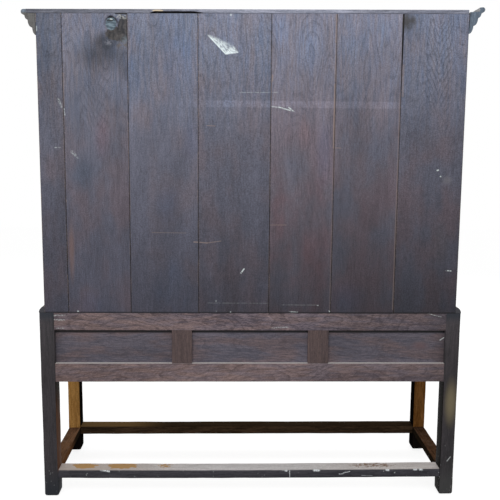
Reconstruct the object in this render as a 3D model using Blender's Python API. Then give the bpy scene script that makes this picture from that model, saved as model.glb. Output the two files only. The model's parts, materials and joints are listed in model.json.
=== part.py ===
"""Oak larder cabinet: a boarded cupboard with ventilated doors on a panelled stand with three drawers.

Metres, +Z up, the front towards -Y. The origin is on the floor, under the middle of the whole box.
Left and right are as seen from the front.
"""

import math

import bmesh
import bpy
from mathutils import Vector

X, Y, Z = range(3)
SIDES = (("left", -1), ("right", 1))

# Clearances and small joinery
FIT = 0.0003  # between pieces that touch
RUN = 0.002  # round doors and drawers
ROOT = 0.004  # how far a joined shape starts inside its piece, and a cutter outside it
ARRIS = 0.001  # softened edges of sawn pieces
TENON = 0.010  # thickness of a stub tenon
TENON_LENGTH = 0.016
TENON_EDGE = 0.002  # from a groove to the tenon beside it
GROOVE = 0.008  # depth of panel grooves and housings

# Stand
STAND_WIDTH = 1.600
STAND_DEPTH = 0.510
STAND_HEIGHT = 0.734
LEG_WIDTH = 0.052
LEG_DEPTH = 0.064
LEG_ARRIS = 0.002
FRAME_HEIGHT = 0.267  # of the rails and drawers between the legs
RAIL = 0.034  # thickness of the front and back rails
RAIL_SETBACK = 0.002
BACK_TOP_RAIL = 0.064
BACK_BOTTOM_RAIL = 0.076
MUNTIN = 0.076
BACK_PANEL = 0.010
BACK_PANEL_SUNK = 0.016
APRON = 0.024
APRON_SETBACK = 0.004
APRON_TENON = 0.085  # height of each of the two tenons at an apron's end
FRONT_TOP_RAIL = 0.036
FRONT_BOTTOM_RAIL = 0.045
DIVIDER = 0.052
RUNNER = 0.020
RUNNER_WIDTH = 0.030
GUIDE = 0.018
STRETCHER_UNDERSIDE = 0.076
STRETCHER_HEIGHT = 0.031
STRETCHER_SETBACK = 0.001  # from the faces of the legs

# Cupboard on the stand
CASE_SETBACK = 0.0195
CASE_HEIGHT = 1.102
SIDE_BOARD = 0.024
BACK_BOARD = 0.018
BACK_LAP = 0.008
BOARDS_FROM_LEFT = (0.238, 0.241, 0.2345)
BOARDS_FROM_RIGHT = (0.090, 0.237, 0.2545)
BOTTOM_BOARD = 0.030
SHELF = 0.022
SHELF_RISE = 0.470  # from the bottom board to the shelf
TOP_BOARD = 0.014
TOP_BOARD_LAP = 0.034  # over the front cornice and over the right return
FACE = 0.026
OUTER_STILE = 0.060
INNER_STILE = 0.060
FRIEZE = 0.094

# Mouldings
MOULDING_END = 0.002  # from the back of the cabinet
WAIST_HEIGHT = 0.028
WAIST_PROJECTION = 0.020
CORNICE_HEIGHT = 0.088
CORNICE_PROJECTION = 0.053
OVOLO_REACH = 0.014
OVOLO_RISE = 0.025
OVOLO_STEP = 0.004
BEAD = 0.0075  # radius of the round nose along the top

# Doors and the fixed bay between them
DOOR = 0.024
DOOR_STILE = 0.056
DOOR_TOP_RAIL = 0.058
DOOR_MID_RAIL = 0.050
DOOR_BOTTOM_RAIL = 0.078
GALLERY = 0.240
SPINDLES = 6
SPINDLE_TENON = 0.008  # radius of the plain ends, and how far they stand in the rails
SPINDLE_END = 0.004  # plain stretch between a rail and the ring
SPINDLE_RING = 0.0105
SPINDLE_RING_HEIGHT = 0.012
SPINDLE_NECK = 0.0062
SPINDLE_SHOULDER = 0.0077
SPINDLE_SHOULDER_DROP = 0.060  # from the rail to the shoulder
SPINDLE_BELLY = 0.0115
DOOR_PANEL = 0.008
DOOR_PANEL_SUNK = 0.010
FIELD_RISE = 0.006
FIELD_SLOPE = 0.028
FIELD_MARGIN = 0.004  # flat strip round the slope
PINTLE_RADIUS = 0.006
PINTLE_DEPTH = 0.014
LATCH_SHAFT = 0.005
LATCH_TONGUE = 0.010
LATCH_TONGUE_WIDTH = 0.014
LATCH_TONGUE_LENGTH = 0.048
LATCH_CLEAR = 0.0005

# Drawers
DRAWER_FRONT = 0.022
DRAWER_FIELD_RISE = 0.004
DRAWER_FIELD_SLOPE = 0.006
DRAWER_FIELD_MARGIN = 0.012
DRAWER_INSET = 0.008  # from the opening's side to the drawer's side
DRAWER_SIDE = 0.012
DRAWER_SIDE_HEIGHT = 0.150
DRAWER_BOTTOM = 0.008
DRAWER_BOTTOM_RISE = 0.008
DRAWER_DEPTH = 0.420
DRAWER_LAP = 0.010
KNOB_SPACING = 0.220
KNOB_LENGTH = 0.028
KNOB_OUTLINE = ((0.0011, 0.0072), (0.0042, 0.0128), (0.0092, 0.016), (0.0146, 0.0136))  # from the tip, radius
KNOB_NECK = (0.019, 0.0238)  # from the tip to the neck's start and end
KNOB_COLLAR = (0.0258, 0.0112)
KNOB_STEM = 0.008

# Facets of round work
ROUND = 12
SPINDLE_ROUND = 10
OVOLO_FACETS = 6
EDGE_FACETS = 8

# Planes and spans worked out from the sizes above
BACK = (STAND_DEPTH - CASE_SETBACK + FIT + CORNICE_PROJECTION) / 2
FRONT = BACK - STAND_DEPTH
CASE_FRONT = FRONT + CASE_SETBACK
RAILS_UNDERSIDE = STAND_HEIGHT - FRAME_HEIGHT
LEG_X = STAND_WIDTH / 2 - LEG_WIDTH
CASE_X = STAND_WIDTH / 2 - CASE_SETBACK
CASE_BASE = STAND_HEIGHT + FIT
CASE_TOP = CASE_BASE + CASE_HEIGHT
FLOOR_TOP = CASE_BASE + BOTTOM_BOARD
FRIEZE_BASE = CASE_TOP - FRIEZE
FACE_X = CASE_X - OUTER_STILE
BAY = (2 * FACE_X - 2 * INNER_STILE) / 3
RUNNER_TOP = RAILS_UNDERSIDE + FRONT_BOTTOM_RAIL
DRAWER_OPENING = (2 * LEG_X - 2 * DIVIDER) / 3
DRAWER_OPENING_TOP = STAND_HEIGHT - FRONT_TOP_RAIL
BACK_PANEL_Y = (BACK - RAIL_SETBACK - BACK_PANEL_SUNK - BACK_PANEL, BACK - RAIL_SETBACK - BACK_PANEL_SUNK)
BACK_PANEL_Z = (RAILS_UNDERSIDE + BACK_BOTTOM_RAIL, STAND_HEIGHT - BACK_TOP_RAIL)
DOOR_PANEL_Y = (CASE_FRONT + DOOR_PANEL_SUNK, CASE_FRONT + DOOR_PANEL_SUNK + DOOR_PANEL)
BEHIND_FACE = CASE_FRONT + FACE + FIT
BEFORE_BOARDS = BACK - BACK_BOARD - FIT


def finish(name, colour, roughness):
    made = bpy.data.materials.new(name)
    made.use_nodes = True
    shader = made.node_tree.nodes["Principled BSDF"]
    shader.inputs["Base Color"].default_value = (*colour, 1.0)
    shader.inputs["Roughness"].default_value = roughness
    shader.inputs["Metallic"].default_value = 0.0
    return made


def middle_of(span):
    return sum(span) / 2


def about(centre, width):
    return centre - width / 2, centre + width / 2


def mirrored(sign, near, far):
    """The span from near to far on one side of the middle, low end first."""
    return tuple(sorted((sign * near, sign * far)))


def box_form(x, y, z, arris=0.0):
    """A box over three spans, with its edges softened."""
    form = bmesh.new()
    bmesh.ops.create_cube(form, size=1.0)
    bmesh.ops.scale(form, vec=[high - low for low, high in (x, y, z)], verts=form.verts)
    bmesh.ops.translate(form, vec=[middle_of(span) for span in (x, y, z)], verts=form.verts)
    if arris:
        bmesh.ops.bevel(form, geom=form.edges[:], offset=arris, segments=1, affect="EDGES")
    return form


def prism_form(outline, axis, span):
    """An outline in the two other axes, in their order, run along an axis."""
    first, second = (other for other in (X, Y, Z) if other != axis)
    form = bmesh.new()
    corners = []
    for point in outline:
        place = Vector()
        place[first], place[second], place[axis] = *point, span[0]
        corners.append(form.verts.new(place))
    extruded = bmesh.ops.extrude_face_region(form, geom=[form.faces.new(corners)])
    run = Vector()
    run[axis] = span[1] - span[0]
    moved = [item for item in extruded["geom"] if isinstance(item, bmesh.types.BMVert)]
    bmesh.ops.translate(form, vec=run, verts=moved)
    return form


def turned_form(profile, axis, centre, facets):
    """A turned solid. The profile gives places along the axis with their radii, and starts and ends on it."""
    across = X if axis == Z else Z
    form = bmesh.new()
    points = []
    for along, radius in profile:
        place = Vector(centre)
        place[axis] = along
        place[across] += radius
        points.append(form.verts.new(place))
    edges = [form.edges.new(pair) for pair in zip(points, points[1:])]
    spin_axis = Vector()
    spin_axis[axis] = 1.0
    bmesh.ops.spin(form, geom=points + edges, cent=centre, axis=spin_axis, angle=math.tau, steps=facets,
                   use_merge=True)
    bmesh.ops.remove_doubles(form, verts=form.verts, dist=1e-6)
    return form


def rod_form(axis, centre, span, radius):
    low, high = span
    return turned_form([(low, 0.0), (low, radius), (high, radius), (high, 0.0)], axis, centre, ROUND)


def piece(name, form, material=None):
    """A named solid from a form in world coordinates. Its origin is the middle of its box."""
    bmesh.ops.recalc_face_normals(form, faces=form.faces)
    places = [[vert.co[axis] for vert in form.verts] for axis in (X, Y, Z)]
    centre = Vector([middle_of((min(values), max(values))) for values in places])
    bmesh.ops.translate(form, vec=-centre, verts=form.verts)
    mesh = bpy.data.meshes.new(name)
    form.to_mesh(mesh)
    form.free()
    if material:
        mesh.materials.append(material)
    made = bpy.data.objects.new(name, mesh)
    made.location = centre
    bpy.context.collection.objects.link(made)
    return made


def board(name, x, y, z, material, arris=ARRIS):
    return piece(name, box_form(x, y, z, arris), material)


def combine(target, form, operation):
    tool = piece("tool", form)
    step = target.modifiers.new("Boolean", "BOOLEAN")
    step.operation = operation
    step.object = tool
    graph = bpy.context.evaluated_depsgraph_get()
    result = bpy.data.meshes.new_from_object(target.evaluated_get(graph))
    target.modifiers.remove(step)
    before = target.data
    target.data = result
    bpy.data.meshes.remove(before)
    result.name = target.name
    bpy.data.objects.remove(tool, do_unlink=True)


def join(target, form):
    combine(target, form, "UNION")


def cut(target, form):
    combine(target, form, "DIFFERENCE")


def soften(target):
    """Round work shaded smooth, with its crisp edges kept."""
    target.data.shade_smooth()
    target.data.set_sharp_from_angle(angle=math.radians(40))


def grown(span, by):
    return span[0] - by, span[1] + by


def tenon(rail, post, axis, shoulder, toward, section):
    """A stub tenon on a rail and its mortise in the post. The section gives its spans across the axis."""
    root = shoulder - toward * ROOT
    spans = [None, None, None]
    for growth, target, shape in ((0.0, rail, join), (FIT, post, cut)):
        for across, span in section.items():
            spans[across] = grown(span, growth)
        end = shoulder + toward * (TENON_LENGTH + growth)
        spans[axis] = tuple(sorted((root, end)))
        shape(target, box_form(*spans))


def tenon_span(span):
    """The height of a tenon on a rail whose edges may be grooved."""
    return grown(span, -GROOVE - TENON_EDGE)


def fielded_form(x, z, back, border, rise, margin, slope):
    """A board with a raised field: a flat margin at the border plane, a slope, then the field."""
    form = bmesh.new()
    rings = []
    field = border - rise
    for inset, depth in ((0.0, back), (0.0, border), (margin, border), (margin + slope, field)):
        (x0, x1), (z0, z1) = grown(x, -inset), grown(z, -inset)
        corners = ((x0, depth, z0), (x1, depth, z0), (x1, depth, z1), (x0, depth, z1))
        rings.append([form.verts.new(corner) for corner in corners])
    form.faces.new(rings[0])
    form.faces.new(rings[-1])
    for near, far in zip(rings, rings[1:]):
        for i in range(4):
            form.faces.new((near[i], near[i - 1], far[i - 1], far[i]))
    return form


def surround_form(profile):
    """A moulding mitred round the cupboard's front and sides. The profile gives projections and heights."""
    form = bmesh.new()
    stations = []
    for side, at_front in ((-1, False), (-1, True), (1, True), (1, False)):
        station = []
        for projection, height in profile:
            out = projection + FIT
            y = CASE_FRONT - out if at_front else BACK - MOULDING_END
            station.append(form.verts.new((side * (CASE_X + out), y, height)))
        stations.append(station)
    form.faces.new(stations[0])
    form.faces.new(stations[-1])
    for near, far in zip(stations, stations[1:]):
        for i in range(len(profile)):
            form.faces.new((near[i], near[i - 1], far[i - 1], far[i]))
    return form


def ovolo(inner, low, reach, rise):
    """A convex quarter from the foot at the inner projection up to the full reach."""
    turns = [math.pi / 2 * step / OVOLO_FACETS for step in range(OVOLO_FACETS + 1)]
    return [(inner + reach * math.sin(t), low + rise * (1 - math.cos(t))) for t in turns]


def knob_profile(face, neck):
    """A turned knob in front of a face, from its domed tip to the stem that enters the wood."""
    tip = face - KNOB_LENGTH
    collar_start, collar = KNOB_COLLAR
    profile = [(tip, 0.0)]
    profile += [(tip + along, radius) for along, radius in KNOB_OUTLINE]
    profile += [(tip + along, neck) for along in KNOB_NECK]
    profile += [(tip + collar_start, collar), (face - FIT, collar), (face - FIT, neck)]
    return profile


for leftover in list(bpy.data.objects):
    bpy.data.objects.remove(leftover, do_unlink=True)

slate_oak = finish("slate_oak", (0.085, 0.080, 0.090), 0.62)
charcoal_oak = finish("charcoal_oak", (0.040, 0.038, 0.039), 0.55)
brown_oak = finish("brown_oak", (0.115, 0.085, 0.072), 0.60)
red_brown_oak = finish("red_brown_oak", (0.070, 0.040, 0.032), 0.55)
polished_oak = finish("polished_oak", (0.090, 0.045, 0.022), 0.35)
moulded_oak = finish("moulded_oak", (0.085, 0.075, 0.065), 0.45)
worn_oak = finish("worn_oak", (0.150, 0.120, 0.095), 0.60)
raw_oak = finish("raw_oak", (0.240, 0.150, 0.075), 0.70)


# Legs: four squared posts from the floor to the top of the stand, deeper than they are wide
legs = {}
for end, leg_y in (("front", (FRONT, FRONT + LEG_DEPTH)), ("back", (BACK - LEG_DEPTH, BACK))):
    for side, sign in SIDES:
        leg_x = mirrored(sign, LEG_X, STAND_WIDTH / 2)
        legs[end, side] = board(f"leg_{end}_{side}", leg_x, leg_y, (0.0, STAND_HEIGHT), charcoal_oak,
                                LEG_ARRIS)


def cross_rail(name, end, y, z, tenon_y, material):
    """A rail from leg to leg across the stand."""
    rail = board(name, (-LEG_X + FIT, LEG_X - FIT), y, z, material)
    for side, sign in SIDES:
        tenon(rail, legs[end, side], X, sign * LEG_X, sign, {Y: tenon_y, Z: tenon_span(z)})
    return rail


def side_tenons(rail, side, x, z):
    """Tenons at both ends of a rail that runs from the front leg to the back leg."""
    for end, shoulder, toward in (("front", FRONT + LEG_DEPTH, -1), ("back", BACK - LEG_DEPTH, 1)):
        tenon(rail, legs[end, side], Y, shoulder, toward, {X: x, Z: z})


# Back of the stand: two grooved rails, two muntins and three sunk panels
back_rail_y = (BACK - RAIL_SETBACK - RAIL, BACK - RAIL_SETBACK)
back_groove_y = grown(BACK_PANEL_Y, FIT)
back_groove_z = grown(BACK_PANEL_Z, GROOVE)
back_top_rail = cross_rail("back_top_rail", "back", back_rail_y, (BACK_PANEL_Z[1], STAND_HEIGHT),
                           BACK_PANEL_Y, brown_oak)
back_bottom_rail = cross_rail("back_bottom_rail", "back", back_rail_y, (RAILS_UNDERSIDE, BACK_PANEL_Z[0]),
                              BACK_PANEL_Y, brown_oak)
for rail in (back_top_rail, back_bottom_rail):
    cut(rail, box_form(grown((-LEG_X, LEG_X), ROOT), back_groove_y, back_groove_z))
for side, sign in SIDES:
    groove_x = mirrored(sign, LEG_X - ROOT, LEG_X + GROOVE)
    cut(legs["back", side], box_form(groove_x, back_groove_y, back_groove_z))

back_panel_width = (2 * LEG_X - 2 * MUNTIN) / 3
muntin_x = (back_panel_width + MUNTIN) / 2
for side, sign in SIDES:
    x = about(sign * muntin_x, MUNTIN)
    muntin = board(f"back_muntin_{side}", x, back_rail_y, grown(BACK_PANEL_Z, -FIT), red_brown_oak)
    for edge in x:
        cut(muntin, box_form(about(edge, 2 * GROOVE), back_groove_y, grown(BACK_PANEL_Z, ROOT)))
    join(muntin, box_form(grown(x, -GROOVE - FIT), BACK_PANEL_Y, grown(BACK_PANEL_Z, GROOVE - FIT)))
for name, place in (("left", -1), ("centre", 0), ("right", 1)):
    x = about(place * (back_panel_width + MUNTIN), back_panel_width)
    board(f"back_panel_{name}", grown(x, GROOVE - FIT), BACK_PANEL_Y, grown(BACK_PANEL_Z, GROOVE - FIT),
          slate_oak, arris=0.0)


# Sides of the stand: a wide apron each side, with the ledge and guide that carry the outer drawers
guide_reach = DRAWER_INSET - RUN
runner_z = (RUNNER_TOP - RUNNER, RUNNER_TOP)
for side, sign in SIDES:
    outer = STAND_WIDTH / 2 - APRON_SETBACK
    inner = outer - APRON
    outline = [
        (outer, RAILS_UNDERSIDE),
        (outer, STAND_HEIGHT),
        (inner, STAND_HEIGHT),
        (inner, RUNNER_TOP + GUIDE),
        (LEG_X - guide_reach, RUNNER_TOP + GUIDE),
        (LEG_X - guide_reach, RUNNER_TOP),
        (LEG_X - RUNNER_WIDTH, RUNNER_TOP),
        (LEG_X - RUNNER_WIDTH, RUNNER_TOP - RUNNER),
        (inner, RUNNER_TOP - RUNNER),
        (inner, RAILS_UNDERSIDE),
    ]
    between_legs = (FRONT + LEG_DEPTH + FIT, BACK - LEG_DEPTH - FIT)
    apron_form = prism_form([(sign * x, z) for x, z in outline], Y, between_legs)
    apron = piece(f"side_apron_{side}", apron_form, polished_oak)
    tenon_x = about(sign * middle_of((inner, outer)), TENON)
    edge = GROOVE + TENON_EDGE
    side_tenons(apron, side, tenon_x, (RAILS_UNDERSIDE + edge, RAILS_UNDERSIDE + edge + APRON_TENON))
    side_tenons(apron, side, tenon_x, (STAND_HEIGHT - edge - APRON_TENON, STAND_HEIGHT - edge))


# Front of the stand: two rails, and two dividers that carry the drawers between them on their runners
front_rail_y = (FRONT + RAIL_SETBACK, FRONT + RAIL_SETBACK + RAIL)
front_tenon_y = about(middle_of(front_rail_y), TENON)
front_top_rail = cross_rail("front_top_rail", "front", front_rail_y, (DRAWER_OPENING_TOP, STAND_HEIGHT),
                            front_tenon_y, polished_oak)
front_bottom_rail = cross_rail("front_bottom_rail", "front", front_rail_y, (RAILS_UNDERSIDE, RUNNER_TOP),
                               front_tenon_y, polished_oak)
divider_z = (RUNNER_TOP, DRAWER_OPENING_TOP)
for side, sign in SIDES:
    centre = sign * (DRAWER_OPENING + DIVIDER) / 2
    x = about(centre, DIVIDER)
    divider = board(f"drawer_divider_{side}", x, front_rail_y, grown(divider_z, -FIT), polished_oak)
    tenon_x = grown(x, -GROOVE - TENON_EDGE)
    tenon(divider, front_bottom_rail, Z, divider_z[0], -1, {X: tenon_x, Y: front_tenon_y})
    tenon(divider, front_top_rail, Z, divider_z[1], 1, {X: tenon_x, Y: front_tenon_y})
    runner_x = grown(x, RUNNER_WIDTH)
    runner_y = (front_rail_y[1] + FIT, back_rail_y[0] + GROOVE - FIT)
    guide_y = (front_rail_y[1] - ROOT, back_rail_y[0] - FIT)
    join(divider, box_form(grown(x, -ROOT), guide_y, (RUNNER_TOP + ROOT, RUNNER_TOP + GUIDE - ROOT)))
    guide_z = (RUNNER_TOP - ROOT, RUNNER_TOP + GUIDE)
    join(divider, box_form(grown(x, guide_reach), (runner_y[0], guide_y[1]), guide_z))
    join(divider, box_form(runner_x, runner_y, runner_z))
    notch_y = (back_rail_y[0] - ROOT, back_rail_y[0] + GROOVE)
    cut(back_bottom_rail, box_form(grown(runner_x, FIT), notch_y, grown(runner_z, FIT)))


# Stretchers: four squared rails close to the floor, each almost as wide as the leg's face that it meets
stretcher_z = (STRETCHER_UNDERSIDE, STRETCHER_UNDERSIDE + STRETCHER_HEIGHT)
for end, centre in (("front", FRONT + LEG_DEPTH / 2), ("back", BACK - LEG_DEPTH / 2)):
    stretcher_y = about(centre, LEG_DEPTH - 2 * STRETCHER_SETBACK)
    cross_rail(f"stretcher_{end}", end, stretcher_y, stretcher_z, about(centre, TENON), worn_oak)
for side, sign in SIDES:
    centre = sign * (STAND_WIDTH - LEG_WIDTH) / 2
    stretcher_x = about(centre, LEG_WIDTH - 2 * STRETCHER_SETBACK)
    stretcher_y = (FRONT + LEG_DEPTH + FIT, BACK - LEG_DEPTH - FIT)
    stretcher = board(f"stretcher_{side}", stretcher_x, stretcher_y, stretcher_z, worn_oak)
    side_tenons(stretcher, side, about(centre, TENON), tenon_span(stretcher_z))


# Back of the cupboard: seven upright boards, each lapped over the next. The middle one takes what is left.
middle_board = 2 * CASE_X - sum(BOARDS_FROM_LEFT) - sum(BOARDS_FROM_RIGHT)
board_widths = (*BOARDS_FROM_LEFT, middle_board, *reversed(BOARDS_FROM_RIGHT))
board_low, board_high = BACK - BACK_BOARD, BACK
lap_y = middle_of((board_low, board_high))
start = -CASE_X
for number, width in enumerate(board_widths, start=1):
    first, last = number == 1, number == len(board_widths)
    left = start if first else start + FIT / 2
    right = start + width if last else start + width - FIT / 2
    under_left = left if first else left + BACK_LAP
    under_right = right if last else right + BACK_LAP - FIT
    outline = [(left, board_high), (right, board_high)]
    outline += [] if last else [(right, lap_y - FIT / 2), (under_right, lap_y - FIT / 2)]
    outline += [(under_right, board_low), (under_left, board_low)]
    outline += [] if first else [(under_left, lap_y + FIT / 2), (left, lap_y + FIT / 2)]
    piece(f"back_board_{number}", prism_form(outline, Z, (CASE_BASE, CASE_TOP)), slate_oak)
    start += width


# Carcass: two side boards housed for the bottom board and the shelf, and a thin top board
floor_z = (CASE_BASE, FLOOR_TOP)
shelf_z = (FLOOR_TOP + SHELF_RISE, FLOOR_TOP + SHELF_RISE + SHELF)
inside_y = (BEHIND_FACE, BEFORE_BOARDS)
inside_x = CASE_X - SIDE_BOARD
housed_x = inside_x + GROOVE - FIT
for side, sign in SIDES:
    side_x = mirrored(sign, inside_x, CASE_X)
    side_board = board(f"side_board_{side}", side_x, inside_y, (CASE_BASE, CASE_TOP), polished_oak)
    housing_x = mirrored(sign, inside_x - ROOT, inside_x + GROOVE)
    cut(side_board, box_form(housing_x, grown(inside_y, ROOT), (CASE_BASE - ROOT, FLOOR_TOP + FIT)))
    cut(side_board, box_form(housing_x, grown(inside_y, ROOT), grown(shelf_z, FIT)))
board("shelf", (-housed_x, housed_x), inside_y, shelf_z, raw_oak)
floor_outline = [(-housed_x, BEFORE_BOARDS), (housed_x, BEFORE_BOARDS)]
floor_outline += [(housed_x, BEHIND_FACE), (FACE_X - FIT, BEHIND_FACE), (FACE_X - FIT, CASE_FRONT)]
floor_outline += [(FIT - FACE_X, CASE_FRONT), (FIT - FACE_X, BEHIND_FACE), (-housed_x, BEHIND_FACE)]
bottom_board = piece("bottom_board", prism_form(floor_outline, Z, floor_z), raw_oak)
top_z = (CASE_TOP + FIT, CASE_TOP + FIT + TOP_BOARD)
board("top_board", (-CASE_X, CASE_X + TOP_BOARD_LAP), (CASE_FRONT - TOP_BOARD_LAP, BACK), top_z, slate_oak)


# Mouldings: an ovolo round the foot of the cupboard, and a cornice rebated for the top board
waist = [(WAIST_PROJECTION * math.cos(t), CASE_BASE + WAIST_HEIGHT * math.sin(t))
         for t in (math.pi / 2 * step / OVOLO_FACETS for step in range(OVOLO_FACETS + 1))]
waist_moulding = piece("waist_moulding", surround_form([(0.0, CASE_BASE), *waist]), moulded_oak)
soften(waist_moulding)

cornice_low = top_z[1] - CORNICE_HEIGHT
second_low = cornice_low + OVOLO_RISE
second_inner = OVOLO_REACH + OVOLO_STEP
slope_low = second_low + OVOLO_RISE
slope_inner = second_inner + OVOLO_REACH - OVOLO_STEP / 2 + OVOLO_STEP
bead_x, bead_z = CORNICE_PROJECTION - BEAD, top_z[1] - BEAD
bead_turns = [math.radians(angle) for angle in (-60, -30, 0, 30, 60, 90)]
cornice_profile = ovolo(0.0, cornice_low, OVOLO_REACH, OVOLO_RISE)
cornice_profile += ovolo(second_inner, second_low, OVOLO_REACH - OVOLO_STEP / 2, OVOLO_RISE)
cornice_profile += [(slope_inner, slope_low)]
cornice_profile += [(bead_x + BEAD * math.cos(t), bead_z + BEAD * math.sin(t)) for t in bead_turns]
rebate = TOP_BOARD_LAP + FIT
cornice_profile += [(rebate, top_z[1]), (rebate, CASE_TOP), (0.0, CASE_TOP)]
cornice = piece("cornice", surround_form(cornice_profile), moulded_oak)
soften(cornice)


# Face of the cupboard: outer stiles, frieze rail and the two stiles beside the fixed bay
face_y = (CASE_FRONT, CASE_FRONT + FACE)
face_tenon_y = about(middle_of(face_y), TENON)
frieze_z = (FRIEZE_BASE, CASE_TOP)
frieze_rail = board("frieze_rail", (-FACE_X + FIT, FACE_X - FIT), face_y, frieze_z, polished_oak)
inner_stiles = {}
for side, sign in SIDES:
    stile_x = mirrored(sign, FACE_X, CASE_X)
    stile = board(f"outer_stile_{side}", stile_x, face_y, (CASE_BASE, CASE_TOP), polished_oak)
    tenon(frieze_rail, stile, X, sign * FACE_X, sign, {Y: face_tenon_y, Z: tenon_span(frieze_z)})
    x = mirrored(sign, BAY / 2, BAY / 2 + INNER_STILE)
    inner_z = (FLOOR_TOP + FIT, FRIEZE_BASE - FIT)
    inner_stile = board(f"inner_stile_{side}", x, face_y, inner_z, polished_oak)
    tenon_x = tenon_span(x)
    tenon(inner_stile, frieze_rail, Z, FRIEZE_BASE, 1, {X: tenon_x, Y: face_tenon_y})
    tenon(inner_stile, bottom_board, Z, FLOOR_TOP, -1, {X: tenon_x, Y: face_tenon_y})
    inner_stiles[sign] = inner_stile


def spindle_profile(low, high):
    """Half of a spindle from its upper tenon down to its belly, then the same upside down."""
    middle, half = middle_of((low, high)), (high - low) / 2
    ring = half - SPINDLE_END - SPINDLE_RING_HEIGHT / 2
    upper = [
        (half + SPINDLE_TENON, 0.0),
        (half + SPINDLE_TENON, SPINDLE_TENON),
        (half - SPINDLE_END, SPINDLE_TENON),
        (ring, SPINDLE_RING),
        (ring - SPINDLE_RING_HEIGHT / 2, SPINDLE_TENON),
        (ring - SPINDLE_RING_HEIGHT, SPINDLE_NECK),
        (half - SPINDLE_SHOULDER_DROP, SPINDLE_SHOULDER),
    ]
    profile = [(middle + along, radius) for along, radius in upper]
    profile += [(middle, SPINDLE_BELLY)]
    profile += [(middle - along, radius) for along, radius in reversed(upper)]
    return profile


def gallery(name, x, y, top, posts):
    """Two rails with turned spindles between them, tenoned to the posts and grooved below for a panel."""
    top_rail_z = (top - DOOR_TOP_RAIL, top)
    mid_top = top_rail_z[0] - GALLERY
    mid_rail_z = (mid_top - DOOR_MID_RAIL, mid_top)
    made = board(name, grown(x, -FIT), y, top_rail_z, polished_oak)
    join(made, box_form(grown(x, -FIT), y, mid_rail_z, ARRIS))
    pitch = (x[1] - x[0]) / SPINDLES
    for number in range(SPINDLES):
        place = (x[0] + pitch / 2 + number * pitch, middle_of(y), mid_top)
        join(made, turned_form(spindle_profile(mid_top, top_rail_z[0]), Z, place, SPINDLE_ROUND))
    cut(made, box_form(grown(x, ROOT), grown(DOOR_PANEL_Y, FIT), about(mid_rail_z[0], 2 * GROOVE)))
    for post, shoulder, toward in zip(posts, x, (-1, 1)):
        for rail_z in (top_rail_z, mid_rail_z):
            section = {Y: about(middle_of(y), TENON), Z: tenon_span(rail_z)}
            tenon(made, post, X, shoulder, toward, section)
    soften(made)
    return mid_rail_z[0]


def panel_grooves(post, edge, z):
    """A groove for the panel in the edge of an upright."""
    cut(post, box_form(about(edge, 2 * GROOVE), grown(DOOR_PANEL_Y, FIT), grown(z, GROOVE)))


def fielded_panel(name, x, z):
    back, border = DOOR_PANEL_Y[1], DOOR_PANEL_Y[0]
    piece(name, fielded_form(grown(x, GROOVE - FIT), grown(z, GROOVE - FIT), back, border, FIELD_RISE,
                             GROOVE + FIELD_MARGIN, FIELD_SLOPE), polished_oak)


# Fixed bay in the middle: a spindle gallery over a fielded panel that stands in the bottom board
centre_x = (-BAY / 2, BAY / 2)
centre_posts = (inner_stiles[-1], inner_stiles[1])
centre_low = gallery("centre_gallery", centre_x, face_y, FRIEZE_BASE - FIT, centre_posts)
centre_panel_z = (FLOOR_TOP, centre_low)
for sign, stile in inner_stiles.items():
    panel_grooves(stile, sign * BAY / 2, (FLOOR_TOP + GROOVE, centre_low))
panel_groove_y = grown(DOOR_PANEL_Y, FIT)
cut(bottom_board, box_form(grown(centre_x, GROOVE), panel_groove_y, about(FLOOR_TOP, 2 * GROOVE)))
fielded_panel("centre_panel", centre_x, centre_panel_z)


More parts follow.
